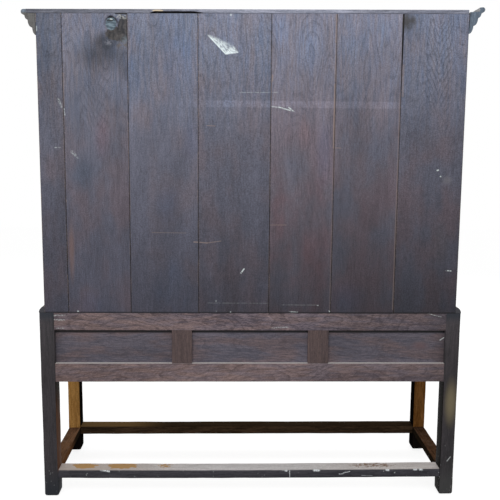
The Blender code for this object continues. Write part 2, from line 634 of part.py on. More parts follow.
# Doors: framed leaves that turn on wooden pintles, each held by a turned latch through its lock stile
door_y = (CASE_FRONT, CASE_FRONT + DOOR)
door_z = (FLOOR_TOP + RUN, FRIEZE_BASE - RUN)
hinge_x = FACE_X - RUN - DOOR / 2
hinge_y = middle_of(door_y)
door_inner_x = BAY / 2 + INNER_STILE + RUN
pivots = {}
for side, sign in SIDES:
    pivot = (sign * hinge_x, hinge_y, 0.0)
    hinge_stile_x = hinge_x + DOOR / 2 - DOOR_STILE
    turns = [math.pi * (step / EDGE_FACETS - 0.5) for step in range(EDGE_FACETS + 1)]
    outline = [(hinge_x + DOOR / 2 * math.cos(t), hinge_y + DOOR / 2 * math.sin(t)) for t in turns]
    outline += [(hinge_stile_x, door_y[1]), (hinge_stile_x, door_y[0])]
    hinge_stile_form = prism_form([(sign * x, y) for x, y in outline], Z, door_z)
    hinge_stile = piece(f"door_{side}_hinge_stile", hinge_stile_form, polished_oak)
    pins = ((bottom_board, (FLOOR_TOP - PINTLE_DEPTH, door_z[0] + ROOT)),
            (frieze_rail, (door_z[1] - ROOT, FRIEZE_BASE + PINTLE_DEPTH)))
    for socket, span in pins:
        join(hinge_stile, rod_form(Z, pivot, span, PINTLE_RADIUS))
        cut(socket, rod_form(Z, pivot, grown(span, FIT), PINTLE_RADIUS + FIT))
    soften(hinge_stile)

    lock_stile_x = mirrored(sign, door_inner_x, door_inner_x + DOOR_STILE)
    lock_stile = board(f"door_{side}_lock_stile", lock_stile_x, door_y, door_z, polished_oak)
    clear_x = mirrored(sign, door_inner_x + DOOR_STILE, hinge_stile_x)
    posts = (lock_stile, hinge_stile) if sign > 0 else (hinge_stile, lock_stile)
    panel_top = gallery(f"door_{side}_gallery", clear_x, door_y, door_z[1], posts)
    bottom_rail_z = (door_z[0], door_z[0] + DOOR_BOTTOM_RAIL)
    bottom_rail = board(f"door_{side}_bottom_rail", grown(clear_x, -FIT), door_y, bottom_rail_z, polished_oak)
    for post, shoulder, toward in zip(posts, clear_x, (-1, 1)):
        rail_tenon = {Y: about(hinge_y, TENON), Z: tenon_span(bottom_rail_z)}
        tenon(bottom_rail, post, X, shoulder, toward, rail_tenon)
        panel_grooves(post, shoulder, (bottom_rail_z[1], panel_top))
    groove_z = about(bottom_rail_z[1], 2 * GROOVE)
    cut(bottom_rail, box_form(grown(clear_x, ROOT), panel_groove_y, groove_z))
    fielded_panel(f"door_{side}_panel", clear_x, (bottom_rail_z[1], panel_top))

    latch_place = (middle_of(lock_stile_x), hinge_y, panel_top + DOOR_MID_RAIL / 2)
    tongue_y = (CASE_FRONT + FACE + LATCH_CLEAR, CASE_FRONT + FACE + LATCH_CLEAR + LATCH_TONGUE)
    shaft_end = tongue_y[1] - ROOT
    latch_profile = knob_profile(CASE_FRONT, LATCH_SHAFT)
    latch_profile += [(shaft_end, LATCH_SHAFT), (shaft_end, 0.0)]
    latch = piece(f"door_{side}_latch", turned_form(latch_profile, Y, latch_place, ROUND), polished_oak)
    tongue_z = (latch_place[Z] - LATCH_TONGUE_LENGTH, latch_place[Z] + LATCH_TONGUE)
    join(latch, box_form(about(latch_place[X], LATCH_TONGUE_WIDTH), tongue_y, tongue_z, ARRIS))
    soften(latch)
    cut(lock_stile, rod_form(Y, latch_place, grown(door_y, ROOT), LATCH_SHAFT + FIT))

    names = ("hinge_stile", "lock_stile", "gallery", "bottom_rail", "panel")
    pivots[f"door_{side}_hinge"] = (pivot, [f"door_{side}_{name}" for name in names])
    pivots[f"door_{side}_latch_pivot"] = (latch_place, [f"door_{side}_latch"])


# Drawers: a fielded front with two turned knobs, housed for an open box that slides on the runners
drawer_front_y = (FRONT + RAIL_SETBACK, FRONT + RAIL_SETBACK + DRAWER_FRONT)
drawer_front_z = (RUNNER_TOP + RUN, DRAWER_OPENING_TOP - RUN)
drawer_y = (drawer_front_y[1] - DRAWER_LAP + FIT, drawer_front_y[0] + DRAWER_DEPTH)
drawer_z = (RUNNER_TOP + FIT, RUNNER_TOP + FIT + DRAWER_SIDE_HEIGHT)
drawer_floor_z = (drawer_z[0] + DRAWER_BOTTOM_RISE, drawer_z[0] + DRAWER_BOTTOM_RISE + DRAWER_BOTTOM)
for name, place in (("left", -1), ("centre", 0), ("right", 1)):
    centre = place * (DRAWER_OPENING + DIVIDER)
    opening_x = about(centre, DRAWER_OPENING)
    outer_x = grown(opening_x, -DRAWER_INSET)
    inner_x = grown(outer_x, -DRAWER_SIDE)
    border = drawer_front_y[0] + DRAWER_FIELD_RISE
    front = piece(f"drawer_{name}_front", fielded_form(
        grown(opening_x, -RUN), drawer_front_z, drawer_front_y[1], border, DRAWER_FIELD_RISE,
        DRAWER_FIELD_MARGIN, DRAWER_FIELD_SLOPE), polished_oak)
    lap_y = (drawer_front_y[1] - DRAWER_LAP, drawer_front_y[1] + ROOT)
    for side_x in ((outer_x[0], inner_x[0]), (inner_x[1], outer_x[1])):
        cut(front, box_form(grown(side_x, FIT), lap_y, (drawer_z[0] - ROOT, drawer_z[1] + FIT)))
    cut(front, box_form(inner_x, lap_y, grown(drawer_floor_z, FIT)))
    stem_end = drawer_front_y[0] + ROOT
    for sign in (-1, 1):
        knob_place = (centre + sign * KNOB_SPACING / 2, stem_end, middle_of(drawer_front_z))
        profile = knob_profile(drawer_front_y[0], KNOB_STEM)
        profile += [(stem_end, KNOB_STEM), (stem_end, 0.0)]
        join(front, turned_form(profile, Y, knob_place, ROUND))
    soften(front)

    box = piece(f"drawer_{name}_box", box_form(outer_x, drawer_y, drawer_z), raw_oak)
    hollow_y = (drawer_y[0] - ROOT, drawer_y[1] - DRAWER_SIDE)
    cut(box, box_form(inner_x, hollow_y, (drawer_floor_z[1], drawer_z[1] + ROOT)))
    cut(box, box_form(inner_x, grown(drawer_y, ROOT), (drawer_z[0] - ROOT, drawer_floor_z[0])))
    slide = (centre, drawer_front_y[0], RUNNER_TOP)
    pivots[f"drawer_{name}_slide"] = (slide, [f"drawer_{name}_front", f"drawer_{name}_box"])


# Moving groups: each hangs from an empty on its own axis, and a latch's empty from its door's
bpy.context.view_layer.update()
for name, (place, members) in pivots.items():
    empty = bpy.data.objects.new(name, None)
    empty.location = place
    bpy.context.collection.objects.link(empty)
    bpy.context.view_layer.update()
    for member in members:
        child = bpy.data.objects[member]
        child.parent = empty
        child.matrix_parent_inverse = empty.matrix_world.inverted()
bpy.context.view_layer.update()
for side, _ in SIDES:
    hinge = bpy.data.objects[f"door_{side}_hinge"]
    latch_pivot = bpy.data.objects[f"door_{side}_latch_pivot"]
    latch_pivot.parent = hinge
    latch_pivot.matrix_parent_inverse = hinge.matrix_world.inverted()
bpy.context.view_layer.update()
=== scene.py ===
"""The looks of an oak larder cabinet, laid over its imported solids.

Metres, +Z up, the front towards -Y. Left and right are as seen from the front, and the camera sees the back.
"""

import json
import math

import bmesh
import bpy
from mathutils import Matrix, Vector, noise


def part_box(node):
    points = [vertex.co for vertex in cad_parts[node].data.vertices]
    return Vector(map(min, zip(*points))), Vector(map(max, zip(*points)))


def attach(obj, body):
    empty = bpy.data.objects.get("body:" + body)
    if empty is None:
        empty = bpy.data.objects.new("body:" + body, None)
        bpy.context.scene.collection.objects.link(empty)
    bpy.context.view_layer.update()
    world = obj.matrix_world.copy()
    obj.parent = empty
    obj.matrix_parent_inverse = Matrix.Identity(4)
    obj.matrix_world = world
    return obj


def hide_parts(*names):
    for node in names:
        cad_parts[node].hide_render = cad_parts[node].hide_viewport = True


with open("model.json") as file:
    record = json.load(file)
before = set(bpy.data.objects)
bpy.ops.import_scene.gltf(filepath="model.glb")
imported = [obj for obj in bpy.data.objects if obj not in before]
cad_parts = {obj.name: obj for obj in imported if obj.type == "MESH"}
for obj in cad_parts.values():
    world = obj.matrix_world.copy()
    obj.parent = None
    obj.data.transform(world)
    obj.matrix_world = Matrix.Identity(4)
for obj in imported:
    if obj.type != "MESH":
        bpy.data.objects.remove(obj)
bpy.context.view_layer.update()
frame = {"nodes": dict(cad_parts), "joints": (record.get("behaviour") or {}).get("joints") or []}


# Legs: four square oak posts, planed by hand, from the floor to the top of the stand. The rails and the
# stretchers are tenoned into them. The back pair is stained nearly black and worn at the feet, and the
# front pair was left raw where it faces the wall.
X, Y, Z = range(3)


class Strand:
    """A shader socket that takes part in sums as a number does."""

    def __init__(self, tree, socket=None):
        self.tree, self.socket = tree, socket

    def node(self, kind, settings=None, values=None, out=0):
        """Adds a node, sets it up, then fills its sockets with values or links."""
        made = self.tree.nodes.new("ShaderNode" + kind)
        for name, setting in (settings or {}).items():
            setattr(made, name, setting)
        for key, value in (values or {}).items():
            if isinstance(value, Strand):
                self.tree.links.new(value.socket, made.inputs[key])
            else:
                made.inputs[key].default_value = value
        return Strand(self.tree, made.outputs[out])

    def math(self, operation, *values):
        return self.node("Math", {"operation": operation}, dict(enumerate(values)))

    def __add__(self, other):
        return self.math("ADD", self, other)

    def __sub__(self, other):
        return self.math("SUBTRACT", self, other)

    def __rsub__(self, other):
        return self.math("SUBTRACT", other, self)

    def __mul__(self, other):
        return self.math("MULTIPLY", self, other)

    __radd__, __rmul__ = __add__, __mul__


def shade(*levels):
    """A colour as a screen shows it, from 0 to 255, in linear numbers."""
    shares = [level / 255 for level in levels]
    return (*(s / 12.92 if s <= 0.04045 else ((s + 0.055) / 1.055) ** 2.4 for s in shares), 1.0)


def blended(share, first, second):
    """The first colour where the share is 0 and the second where it is 1."""
    return share.node("Mix", {"data_type": "RGBA"}, {0: share, 6: first, 7: second}, out=2)


def dimmed(colour, share):
    """A colour made darker by a share under 1, or lighter by one over 1."""
    colour = colour if isinstance(colour, Strand) else colour[:3]
    return share.node("VectorMath", {"operation": "SCALE"}, {0: colour, 3: share})


def rising(value, low, high):
    """0 at low and 1 at high, with a soft step between. The two may stand in either order."""
    return value.node("MapRange", {"interpolation_type": "SMOOTHSTEP"}, {0: value, 1: low, 2: high})


def most(first, second):
    return first.math("MAXIMUM", first, second)


def coordinate(place, axis):
    return place.node("SeparateXYZ", {}, {0: place}, out=axis)


def mottle(place, stretch, detail=2.0, shift=0.0, curl=0.0):
    """Noise from 0 to 1, in patches of 1 / stretch metres on each axis, bent by its curl."""
    spot = place.node("VectorMath", {"operation": "MULTIPLY_ADD"}, {0: place, 1: stretch, 2: (shift,) * 3})
    return place.node("TexNoise", {}, {"Vector": spot, "Scale": 1.0, "Detail": detail, "Distortion": curl})


def oak(place, along, deep, pale, figure=0.25, lines=36.0, shift=0.0, curl=0.0, wave=0.7, dusty=0.22):
    """The colour and the relief of oak whose grain runs along an axis."""

    def fibre(across, lengthwise, detail, bend=0.0):
        stretch = [across] * 3
        stretch[along] = lengthwise
        return mottle(place, stretch, detail, shift, bend)

    bands, strands, hairs = fibre(11.0, 1.0, 2.0), fibre(130.0, 10.0, 3.0, curl), fibre(330.0, 60.0, 2.0)
    tone = rising(bands * 0.3 + strands * 0.4 + hairs * 0.3, 0.39, 0.61)
    years = fibre(8.0, wave, 1.5) * lines
    growth = rising(years.math("FRACT", years), 0.5, 1.0)
    pores = rising(fibre(620.0, 24.0, 2.0), 0.54, 0.68)
    grit = rising(mottle(place, (290.0,) * 3, 1.0, shift), 0.3, 0.7)
    wear = growth * figure + pores * 0.18 + grit * dusty
    return dimmed(blended(tone, deep, pale), 1.11 - wear), 1.0 - wear


def scratch(place, plane, start, end, width):
    """A scratch on an upright face at a plane, between two places given by X and Z: 1 along its middle."""
    start, end = (Vector((x, plane, z)) for x, z in (start, end))
    run = end - start
    offset = place.node("VectorMath", {"operation": "SUBTRACT"}, {0: place, 1: start})
    pull = {0: offset, 1: run / run.length_squared}
    along = place.node("VectorMath", {"operation": "DOT_PRODUCT"}, pull, out=1)
    held = place.node("Math", {"operation": "MULTIPLY", "use_clamp": True}, {0: along, 1: 1.0})
    nearest = place.node("VectorMath", {"operation": "SCALE"}, {0: run, 3: held})
    away = place.node("VectorMath", {"operation": "DISTANCE"}, {0: offset, 1: nearest}, out=1)
    return rising(away, width, width * 0.3)


def patch(place, plane, centre, reach, deep=0.05):
    """A soft patch on an upright face at a plane: 1 at its centre and 0 at its reach in X and Z."""
    (x, z), (wide, tall) = centre, reach
    offset = place.node("VectorMath", {"operation": "SUBTRACT"}, {0: place, 1: (x, plane, z)})
    spot = place.node("VectorMath", {"operation": "DIVIDE"}, {0: offset, 1: (wide, deep, tall)})
    away = place.node("VectorMath", {"operation": "LENGTH"}, {0: spot}, out=1)
    return rising(away, 1.0, 0.15)


def started(name):
    """A new finish, the place on its piece in metres, and which way the surface faces there."""
    finish = bpy.data.materials.new(name)
    finish.use_nodes = True
    strand = Strand(finish.node_tree)
    return finish, strand.node("TexCoord", out="Object"), strand.node("TexCoord", out="Normal")


def dressed(finish, colour, roughness, relief, depth=0.0006, gloss=0.25):
    """Feeds the finish's shader. The gloss is the same all over, so it is set on the shader itself."""
    shader = finish.node_tree.nodes["Principled BSDF"]
    shader.inputs["Specular IOR Level"].default_value = gloss
    bump = relief.node("Bump", {}, {"Height": relief, "Distance": depth, "Strength": 0.6})
    for socket, value in (("Base Color", colour), ("Roughness", roughness), ("Normal", bump)):
        finish.node_tree.links.new(value.socket, shader.inputs[socket])
    return finish


SMOOTH_ANGLE = math.radians(38)


def skin(name, form, *finishes):
    """A piece from a form in the part's own frame, shaded smooth over its soft edges."""
    bmesh.ops.recalc_face_normals(form, faces=form.faces)
    mesh = bpy.data.meshes.new(name)
    form.to_mesh(mesh)
    form.free()
    for finish in finishes:
        mesh.materials.append(finish)
    mesh.shade_smooth()
    mesh.set_sharp_from_angle(angle=SMOOTH_ANGLE)
    piece = bpy.data.objects.new(name, mesh)
    bpy.context.scene.collection.objects.link(piece)
    return piece


def loft(form, rings, closed=False, finish=0):
    """A skin over rings of points, capped at both ends or joined end to end."""
    loops = [[form.verts.new(point) for point in ring] for ring in rings]
    faces = [] if closed else [form.faces.new(loops[0]), form.faces.new(loops[-1])]
    for near, far in zip(loops, loops[1:] + loops[:1] if closed else loops[1:]):
        faces += [form.faces.new((near[i - 1], near[i], far[i], far[i - 1])) for i in range(len(near))]
    for face in faces:
        face.material_index = finish


def soft_end(tip, reach):
    """Stations and insets from a timber's tip to its full section: a quarter round, or a square cut."""
    if not reach:
        return [(tip, 0.0)]
    turns = [step * math.pi / 8 for step in range(5)]
    return [(tip + reach * (1 - math.cos(t)), abs(reach) * (1 - math.sin(t))) for t in turns]


STATION_PITCH = 0.04
WAVER_PITCH = 14.0  # humps in a metre


def bar(form, low, high, along, ease, waver=0.0, rounded=(0.0, 0.0)):
    """A squared timber with rounded arrises and a planed waver. Rounded gives each end's softness."""
    first, second = (axis for axis in (X, Y, Z) if axis != along)
    start, stop = low[along] + rounded[0], high[along] - rounded[1]
    count = max(2, round((stop - start) / STATION_PITCH))
    stations = soft_end(low[along], rounded[0])
    stations += [(start + (stop - start) * step / count, 0.0) for step in range(1, count)]
    stations += reversed(soft_end(high[along], -rounded[1]))
    rings = []
    for station, inset in stations:
        ring = []
        for corner, sides in enumerate(((1, 1), (-1, 1), (-1, -1), (1, -1))):
            for step in range(4):
                turn = (corner + step / 3) * math.pi / 2
                out = Vector()
                out[first], out[second] = math.cos(turn), math.sin(turn)
                point = out * ease
                for axis, side in zip((first, second), sides):
                    half = (high[axis] - low[axis]) / 2
                    point[axis] += low[axis] + half + side * (half - ease - inset)
                point[along] = station
                ring.append(point + out * waver * noise.noise(point * WAVER_PITCH))
        rings.append(ring)
    loft(form, rings)


def settle(piece, body, slot, *replaced):
    """Fixes a piece to the part it moves with, and hides the solids it stands for."""
    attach(piece, body)
    if replaced:
        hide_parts(*replaced)


LEG_EASE, LEG_WAVER, FOOT_ROUND = 0.0035, 0.0011, 0.011
LEG_SWELL = 0.0026  # the back legs are this much wider on their outer sides
RAIL_DROP = 0.0034  # the back rails have sagged in their mortises
FOOT_LINE = (0.11, 0.09)  # the wood darkens between these heights
CHALK = shade(196, 200, 200)
UNLIT = shade(16, 14, 13)
RAW_FACES = {
    "left": (shade(109, 70, 32), shade(150, 104, 57)),
    "right": (shade(167, 121, 65), shade(199, 150, 87)),
}
FEET = {"left": shade(72, 72, 72), "right": shade(46, 50, 56)}
CHIPPING = {"left": 0.7, "right": 0.25}
back_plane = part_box("leg_back_left")[1].y
rails_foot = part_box("back_bottom_rail")[0].z - RAIL_DROP


def inner_face(facing, side):
    """1 on the face that looks towards the other leg of the pair."""
    return rising(coordinate(facing, X) * (1 if side == "left" else -1), 0.3, 0.7)


def front_leg_oak(place, facing, side):
    """Waxed to the front, raw towards the wall, and dark where the front legs face each other."""
    raw, _ = oak(place, Z, *RAW_FACES[side], figure=0.2)
    raw = blended(rising(coordinate(place, Z), *FOOT_LINE), raw, shade(26, 22, 20))
    colour, relief = oak(place, Z, shade(58, 38, 24), shade(112, 77, 47), figure=0.42)
    colour = blended(rising(coordinate(facing, Y), 0.3, 0.7), colour, raw)
    return blended(inner_face(facing, side), colour, UNLIT), relief


def back_leg_oak(place, facing, side):
    """Stained nearly black, paler towards the head, and worn and chipped at the foot."""
    height = coordinate(place, Z)
    colour, relief = oak(place, Z, shade(55, 53, 55), shade(67, 63, 66), figure=0.10)
    colour = dimmed(colour, rising(height, 0.48, 0.75) * 0.5 + 1.0)
    colour = blended(rising(height, 0.14, 0.02) * 0.8, colour, FEET[side])
    colour = blended(rising(height, 0.69, 0.73) * 0.7, colour, shade(50, 56, 64))
    # Inner faces under the rails get painted shade: near black on the left leg, fading to brown wood lower
    # down on the right.
    below_rails = inner_face(facing, side) * rising(height, rails_foot + 0.006, rails_foot - 0.004)
    chips = rising(mottle(place, (120.0,) * 3, 1.0), 0.72, 0.76) * rising(height, 0.3, 0.02)
    if side == "right":
        bare = blended(rising(height, 0.30, 0.45), shade(92, 62, 44), shade(26, 21, 17))
        bare = blended(rising(height, *FOOT_LINE), bare, shade(44, 45, 50))
        colour = blended(below_rails, colour, bare)
    else:
        colour = blended(below_rails, colour, UNLIT)
        # A painted sheen: an olive highlight on the left leg's back face.
        sheen = patch(place, back_plane, (-0.780, 0.378), (0.034, 0.125))
        colour = blended(sheen * 0.95, colour, shade(120, 110, 88))
        chips = most(chips, scratch(place, back_plane, (-0.7757, 0.140), (-0.788, 0.157), 0.0028))
    return blended(chips * CHIPPING[side], colour, CHALK), relief


for end, leg_oak, gloss in (("front", front_leg_oak, 0.0), ("back", back_leg_oak, 0.08)):
    for side, sign in (("left", -1), ("right", 1)):
        node = f"leg_{end}_{side}"
        finish, place, facing = started(node + "_oak")
        colour, relief = leg_oak(place, facing, side)
        dressed(finish, colour, relief * -0.15 + 0.85, relief, depth=0.0003, gloss=gloss)
        low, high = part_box(node)
        if end == "back":
            outer = high if sign > 0 else low
            outer.x += sign * LEG_SWELL
        form = bmesh.new()
        bar(form, low, high, Z, LEG_EASE, LEG_WAVER, rounded=(FOOT_ROUND, 0.0))
        settle(skin(f"{node}_post", form, finish), "carcass", "charcoal_oak", node)


# Back of the stand: a framed panel between the back legs. Two rails and two muntins are grooved for three
# thin panels, and the lower rail's top edge has gathered pale dust.


def finish_solids(finish, *names):
    for name in names:
        frame["nodes"][name].material_slots[0].material = finish


def tinted(colour, share, cool, warm):
    """A colour drawn to a cool cast where the share is 0 and to a warm one where it is 1."""
    cast = blended(share, (*cool, 1.0), (*warm, 1.0))
    return share.node("VectorMath", {"operation": "MULTIPLY"}, {0: colour, 1: cast})


def slanted(place, angle):
    """Places turned on the back's own plane, for grain that runs at a slant."""
    return place.node("VectorRotate", {"rotation_type": "Y_AXIS"}, {"Vector": place, "Angle": angle})


def rail_oak(name, deep, pale, tilt, figure, lifts, top_face_dust_and_shade, smears=()):
    """Grey-brown rail oak whose grain runs out at a slant. Lifts lighten its left, middle and right."""
    finish, place, facing = started(name)
    colour, relief = oak(slanted(place, tilt), X, deep, pale, figure, lines=15.0, curl=1.6, wave=3.5)
    fleck = rising(mottle(slanted(place, -0.6), (70.0, 300.0, 300.0)), 0.42, 0.62)
    colour = dimmed(colour, fleck * 0.22 + 0.90)
    across = coordinate(place, X)
    cloud = rising(mottle(place, (9.0, 30.0, 60.0), 3.0, tilt), 0.4, 0.6)
    warmth = cloud * 0.6 + rising(across, -0.8, 0.6) * 0.4
    colour = tinted(colour, warmth, (0.86, 0.92, 1.04), (1.14, 1.05, 0.98))
    left, middle, right = lifts
    lift = rising(across, -0.45, -0.15) * (middle - left) + rising(across, 0.15, 0.45) * (right - middle)
    colour = dimmed(colour, lift + left)
    # Painted shade towards the legs at both ends.
    colour = dimmed(colour, rising(across, -0.755, -0.63) * 0.30 + 0.70)
    colour = dimmed(colour, rising(across, 0.755, 0.69) * 0.14 + 0.86)
    for start, end, width in smears:
        broken = rising(mottle(place, (160.0, 160.0, 420.0)), 0.42, 0.62)
        smear = scratch(place, rail_plane, start, end, width)
        colour = blended(smear * broken * 0.7, colour, CHALK)
    # Top faces: pale dust on the bottom rail, near-black painted shade in the gap above the top rail.
    colour = blended(rising(coordinate(facing, Z), 0.5, 0.9), colour, top_face_dust_and_shade)
    return dressed(finish, colour, relief * -0.1 + 0.75, relief)


TIMBER_EASE, TIMBER_WAVER = 0.0012, 0.0004


def stand_timber(node, low, high, along, finish, slot):
    form = bmesh.new()
    bar(form, low, high, along, TIMBER_EASE, TIMBER_WAVER)
    settle(skin(f"{node}_timber", form, finish), "carcass", slot, node)


DUST = shade(188, 183, 181)
TOP_RAIL_PLAY, BOTTOM_RAIL_WEAR = 0.0005, 0.0068  # how far each rail's top edge stands lower than planned
SMEARS = (
    ((0.747, 0.7235), (0.706, 0.7245), 0.0035),
    ((0.746, 0.7075), (0.709, 0.7055), 0.0040),
    ((0.738, 0.6735), (0.712, 0.6745), 0.0025),
    ((-0.079, 0.6765), (-0.141, 0.6795), 0.0035),
    ((-0.676, 0.7335), (-0.727, 0.7205), 0.0026),
)
rail_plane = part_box("back_top_rail")[1].y
top_rail_finish = rail_oak("top_rail_oak", shade(82, 73, 79), shade(130, 115, 117), tilt=0.10, figure=0.28,
                           lifts=(0.76, 1.18, 0.95), top_face_dust_and_shade=shade(18, 17, 17), smears=SMEARS)
bottom_rail_finish = rail_oak("bottom_rail_oak", shade(94, 81, 83), shade(130, 114, 114), tilt=-0.07,
                              figure=0.24, lifts=(1.02, 1.13, 1.08), top_face_dust_and_shade=DUST)
top_low, top_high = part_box("back_top_rail")
bottom_low, bottom_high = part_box("back_bottom_rail")
for low, high in ((top_low, top_high), (bottom_low, bottom_high)):
    low.x, high.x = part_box("leg_back_left")[1].x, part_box("leg_back_right")[0].x
    low.z -= RAIL_DROP
top_high.z -= TOP_RAIL_PLAY
bottom_high.z -= BOTTOM_RAIL_WEAR
stand_timber("back_top_rail", top_low, top_high, X, top_rail_finish, "brown_oak")
stand_timber("back_bottom_rail", bottom_low, bottom_high, X, bottom_rail_finish, "brown_oak")

MUNTIN_SHIFTS = {"left": (0.0035, 0.0062), "right": (0.003, 0.003)}  # how far each edge stands to the right
finish, place, _ = started("muntin_oak")
colour, relief = oak(place, Z, shade(74, 62, 63), shade(96, 80, 78), figure=0.2)
dressed(finish, colour, relief * -0.1 + 0.7, relief)
for side, (low_shift, high_shift) in MUNTIN_SHIFTS.items():
    low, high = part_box(f"back_muntin_{side}")
    low.x += low_shift
    high.x += high_shift
    low.z, high.z = bottom_high.z, top_low.z
    stand_timber(f"back_muntin_{side}", low, high, Z, finish, "red_brown_oak")

panel_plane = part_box("back_panel_left")[1].y
finish, place, _ = started("thin_panel_oak")
colour, relief = oak(place, X, shade(78, 74, 82), shade(104, 95, 101), figure=0.15, lines=22.0, curl=1.4,
                     wave=2.6)
cloud = rising(mottle(place, (6.0, 20.0, 22.0), 4.0, 2.0), 0.42, 0.64)
colour = tinted(colour, cloud, (0.93, 0.99, 1.06), (1.13, 1.0, 0.93))
across, height = coordinate(place, X), coordinate(place, Z)
middle_panel = rising(across, -0.30, -0.22) * rising(across, 0.30, 0.22)
colour = dimmed(colour, middle_panel * 0.16 + 1.0)
# Painted shadow under the top rail.
below_shadow = rising(height, top_low.z - 0.010, top_low.z - 0.0165)
colour = dimmed(colour, below_shadow * 0.90 + 0.10)
# Painted shade towards the legs.
clear_of_leg_shade = rising(across, -0.752, -0.69) * rising(across, 0.752, 0.70)
colour = dimmed(colour, clear_of_leg_shade * 0.27 + 0.73)
# Painted light on the panels just above the bottom rail and just below the painted shadow.
colour = dimmed(colour, rising(height, bottom_high.z + 0.020, bottom_high.z) * 0.22 + 1.0)
colour = dimmed(colour, rising(height, top_low.z - 0.036, top_low.z - 0.020) * 0.13 + 1.0)
curl = scratch(place, panel_plane, (-0.732, 0.625), (-0.747, 0.635), 0.003)
speck = scratch(place, panel_plane, (-0.2242, 0.5728), (-0.2242, 0.5734), 0.004)
colour = blended(most(curl, speck) * 0.8, colour, CHALK)
warm = patch(place, panel_plane, (-0.655, 0.601), (0.05, 0.02))
colour = blended(warm * 0.5, colour, shade(110, 84, 84))
dressed(finish, colour, relief * -0.1 + 0.72, relief)
finish_solids(finish, "back_panel_left", "back_panel_centre", "back_panel_right")


# Sides of the stand: one wide oak apron each side, tenoned between the legs, with the ledge and the guide
# for the outer drawers on its inner face. Its outer face is waxed like the front.


def waxed_oak(name, along, deep=shade(58, 37, 23), pale=shade(112, 77, 47), shift=0.0):
    """Dark oak under old wax, with a soft sheen and dark lines in its pores."""
    finish, place, _ = started(name)
    colour, relief = oak(place, along, deep, pale, figure=0.42, lines=34.0, shift=shift)
    wear = mottle(place, (7.0,) * 3, 3.0, shift)
    colour = dimmed(colour, wear * 0.9 + 0.55)
    return dressed(finish, colour, wear * 0.25 + 0.24, relief, depth=0.0004, gloss=0.5)


waxed_across = waxed_oak("waxed_oak_across", X)
waxed_upright = waxed_oak("waxed_oak_upright", Z)
waxed_deep = waxed_oak("waxed_oak_deep", Y)
finish_solids(waxed_deep, "side_apron_left", "side_apron_right")


# Front of the stand: two oak rails between the front legs, and two dividers tenoned between the rails. The
# runners and guides behind the dividers carry the drawers.
finish_solids(waxed_across, "front_top_rail", "front_bottom_rail")
finish_solids(waxed_upright, "drawer_divider_left", "drawer_divider_right")


# Stretchers: four squared oak rails near the floor, tenoned into the legs. Feet have worn the back one pale
# on top and bruised its edge, and painted light from above makes that top paler still. Those that light
# seldom reaches stay dark.
GOLD = shade(176, 134, 74)
TREAD = 0.042  # half the depth of the worn patches
BRUISE_SINK = 0.001
BRUISES = (
    ((0.586, 0.107), (0.551, 0.101), 0.0048),
    ((-0.1552, 0.108), (-0.1557, 0.076), 0.0022),
    ((-0.138, 0.1025), (-0.143, 0.1015), 0.006),
    ((-0.128, 0.1045), (-0.130, 0.1045), 0.005),
    ((-0.252, 0.1035), (-0.270, 0.103), 0.0075),
    ((-0.35, 0.087), (-0.366, 0.0875), 0.002),
    ((-0.366, 0.0905), (-0.393, 0.0975), 0.002),
    ((-0.44, 0.081), (-0.481, 0.0805), 0.002),
    ((-0.538, 0.104), (-0.546, 0.103), 0.0065),
    ((-0.648, 0.1055), (-0.656, 0.105), 0.0065),
    ((-0.670, 0.105), (-0.678, 0.1045), 0.006),
    ((-0.36, 0.1085), (-0.41, 0.107), 0.002),
)


def back_stretcher_oak(place, facing, top, plane):
    """Slate grey, trodden pale on top and painted paler by light, with golden patches, its arris bruised
    white.
    """
    colour, relief = oak(place, X, shade(50, 49, 55), shade(70, 68, 74), figure=0.2)
    worn, _ = oak(place, X, shade(190, 187, 187), shade(216, 213, 213), figure=0.06)
    across = coordinate(place, X)
    browned = rising(across, 0.15, 0.65) * 0.6 + rising(across, -0.15, -0.5) * 0.25
    worn = blended(browned, worn, shade(178, 160, 146))
    ragged = mottle(place, (38.0, 60.0, 38.0), 3.0)
    streaked = mottle(place, (90.0, 120.0, 60.0), 3.0)
    for x, reach, tint, edge, share, start in (
            (0.651, 0.068, GOLD, ragged, 0.6, 0.68),
            (0.505, 0.090, GOLD, ragged, 0.6, 0.68),
            (0.337, 0.050, GOLD, streaked, 0.3, 0.70),
            (-0.488, 0.150, shade(120, 92, 70), streaked, 0.3, 0.70)):
        trodden = patch(place, plane - TREAD, (x, top), (reach, 0.05), deep=TREAD)
        worn = blended(rising(trodden * share + edge, start, 0.82) * 0.9, worn, tint)
    # The top faces take the worn colour: trodden pale, with painted light from above in it.
    colour = blended(rising(coordinate(facing, Z), 0.70, 1.0), colour, worn)
    broken = rising(mottle(place, (380.0,) * 3), 0.40, 0.54)
    for start, end, width in BRUISES:
        bruise = scratch(place, plane - BRUISE_SINK, start, end, width)
        colour = blended(bruise * (broken * 0.7 + 0.3), colour, shade(234, 239, 242))
    chips = rising(mottle(place, (120.0,) * 3, 1.0), 0.75, 0.79)
    return blended(chips * 0.6, colour, CHALK), relief


def front_stretcher_oak(place, upward):
    """Dark brown, its top worn golden towards the right."""
    colour, relief = oak(place, X, shade(53, 41, 30), shade(86, 67, 51), figure=0.2)
    worn, _ = oak(place, X, shade(40, 30, 21), shade(58, 46, 34), figure=0.2)
    across = coordinate(place, X)
    worn = blended(rising(across, 0.34, 0.56) * 0.8, worn, shade(112, 88, 56))
    colour = dimmed(colour, 1.0 - rising(across, 0.56, 0.66) * 0.25)
    return blended(upward, colour, worn), relief


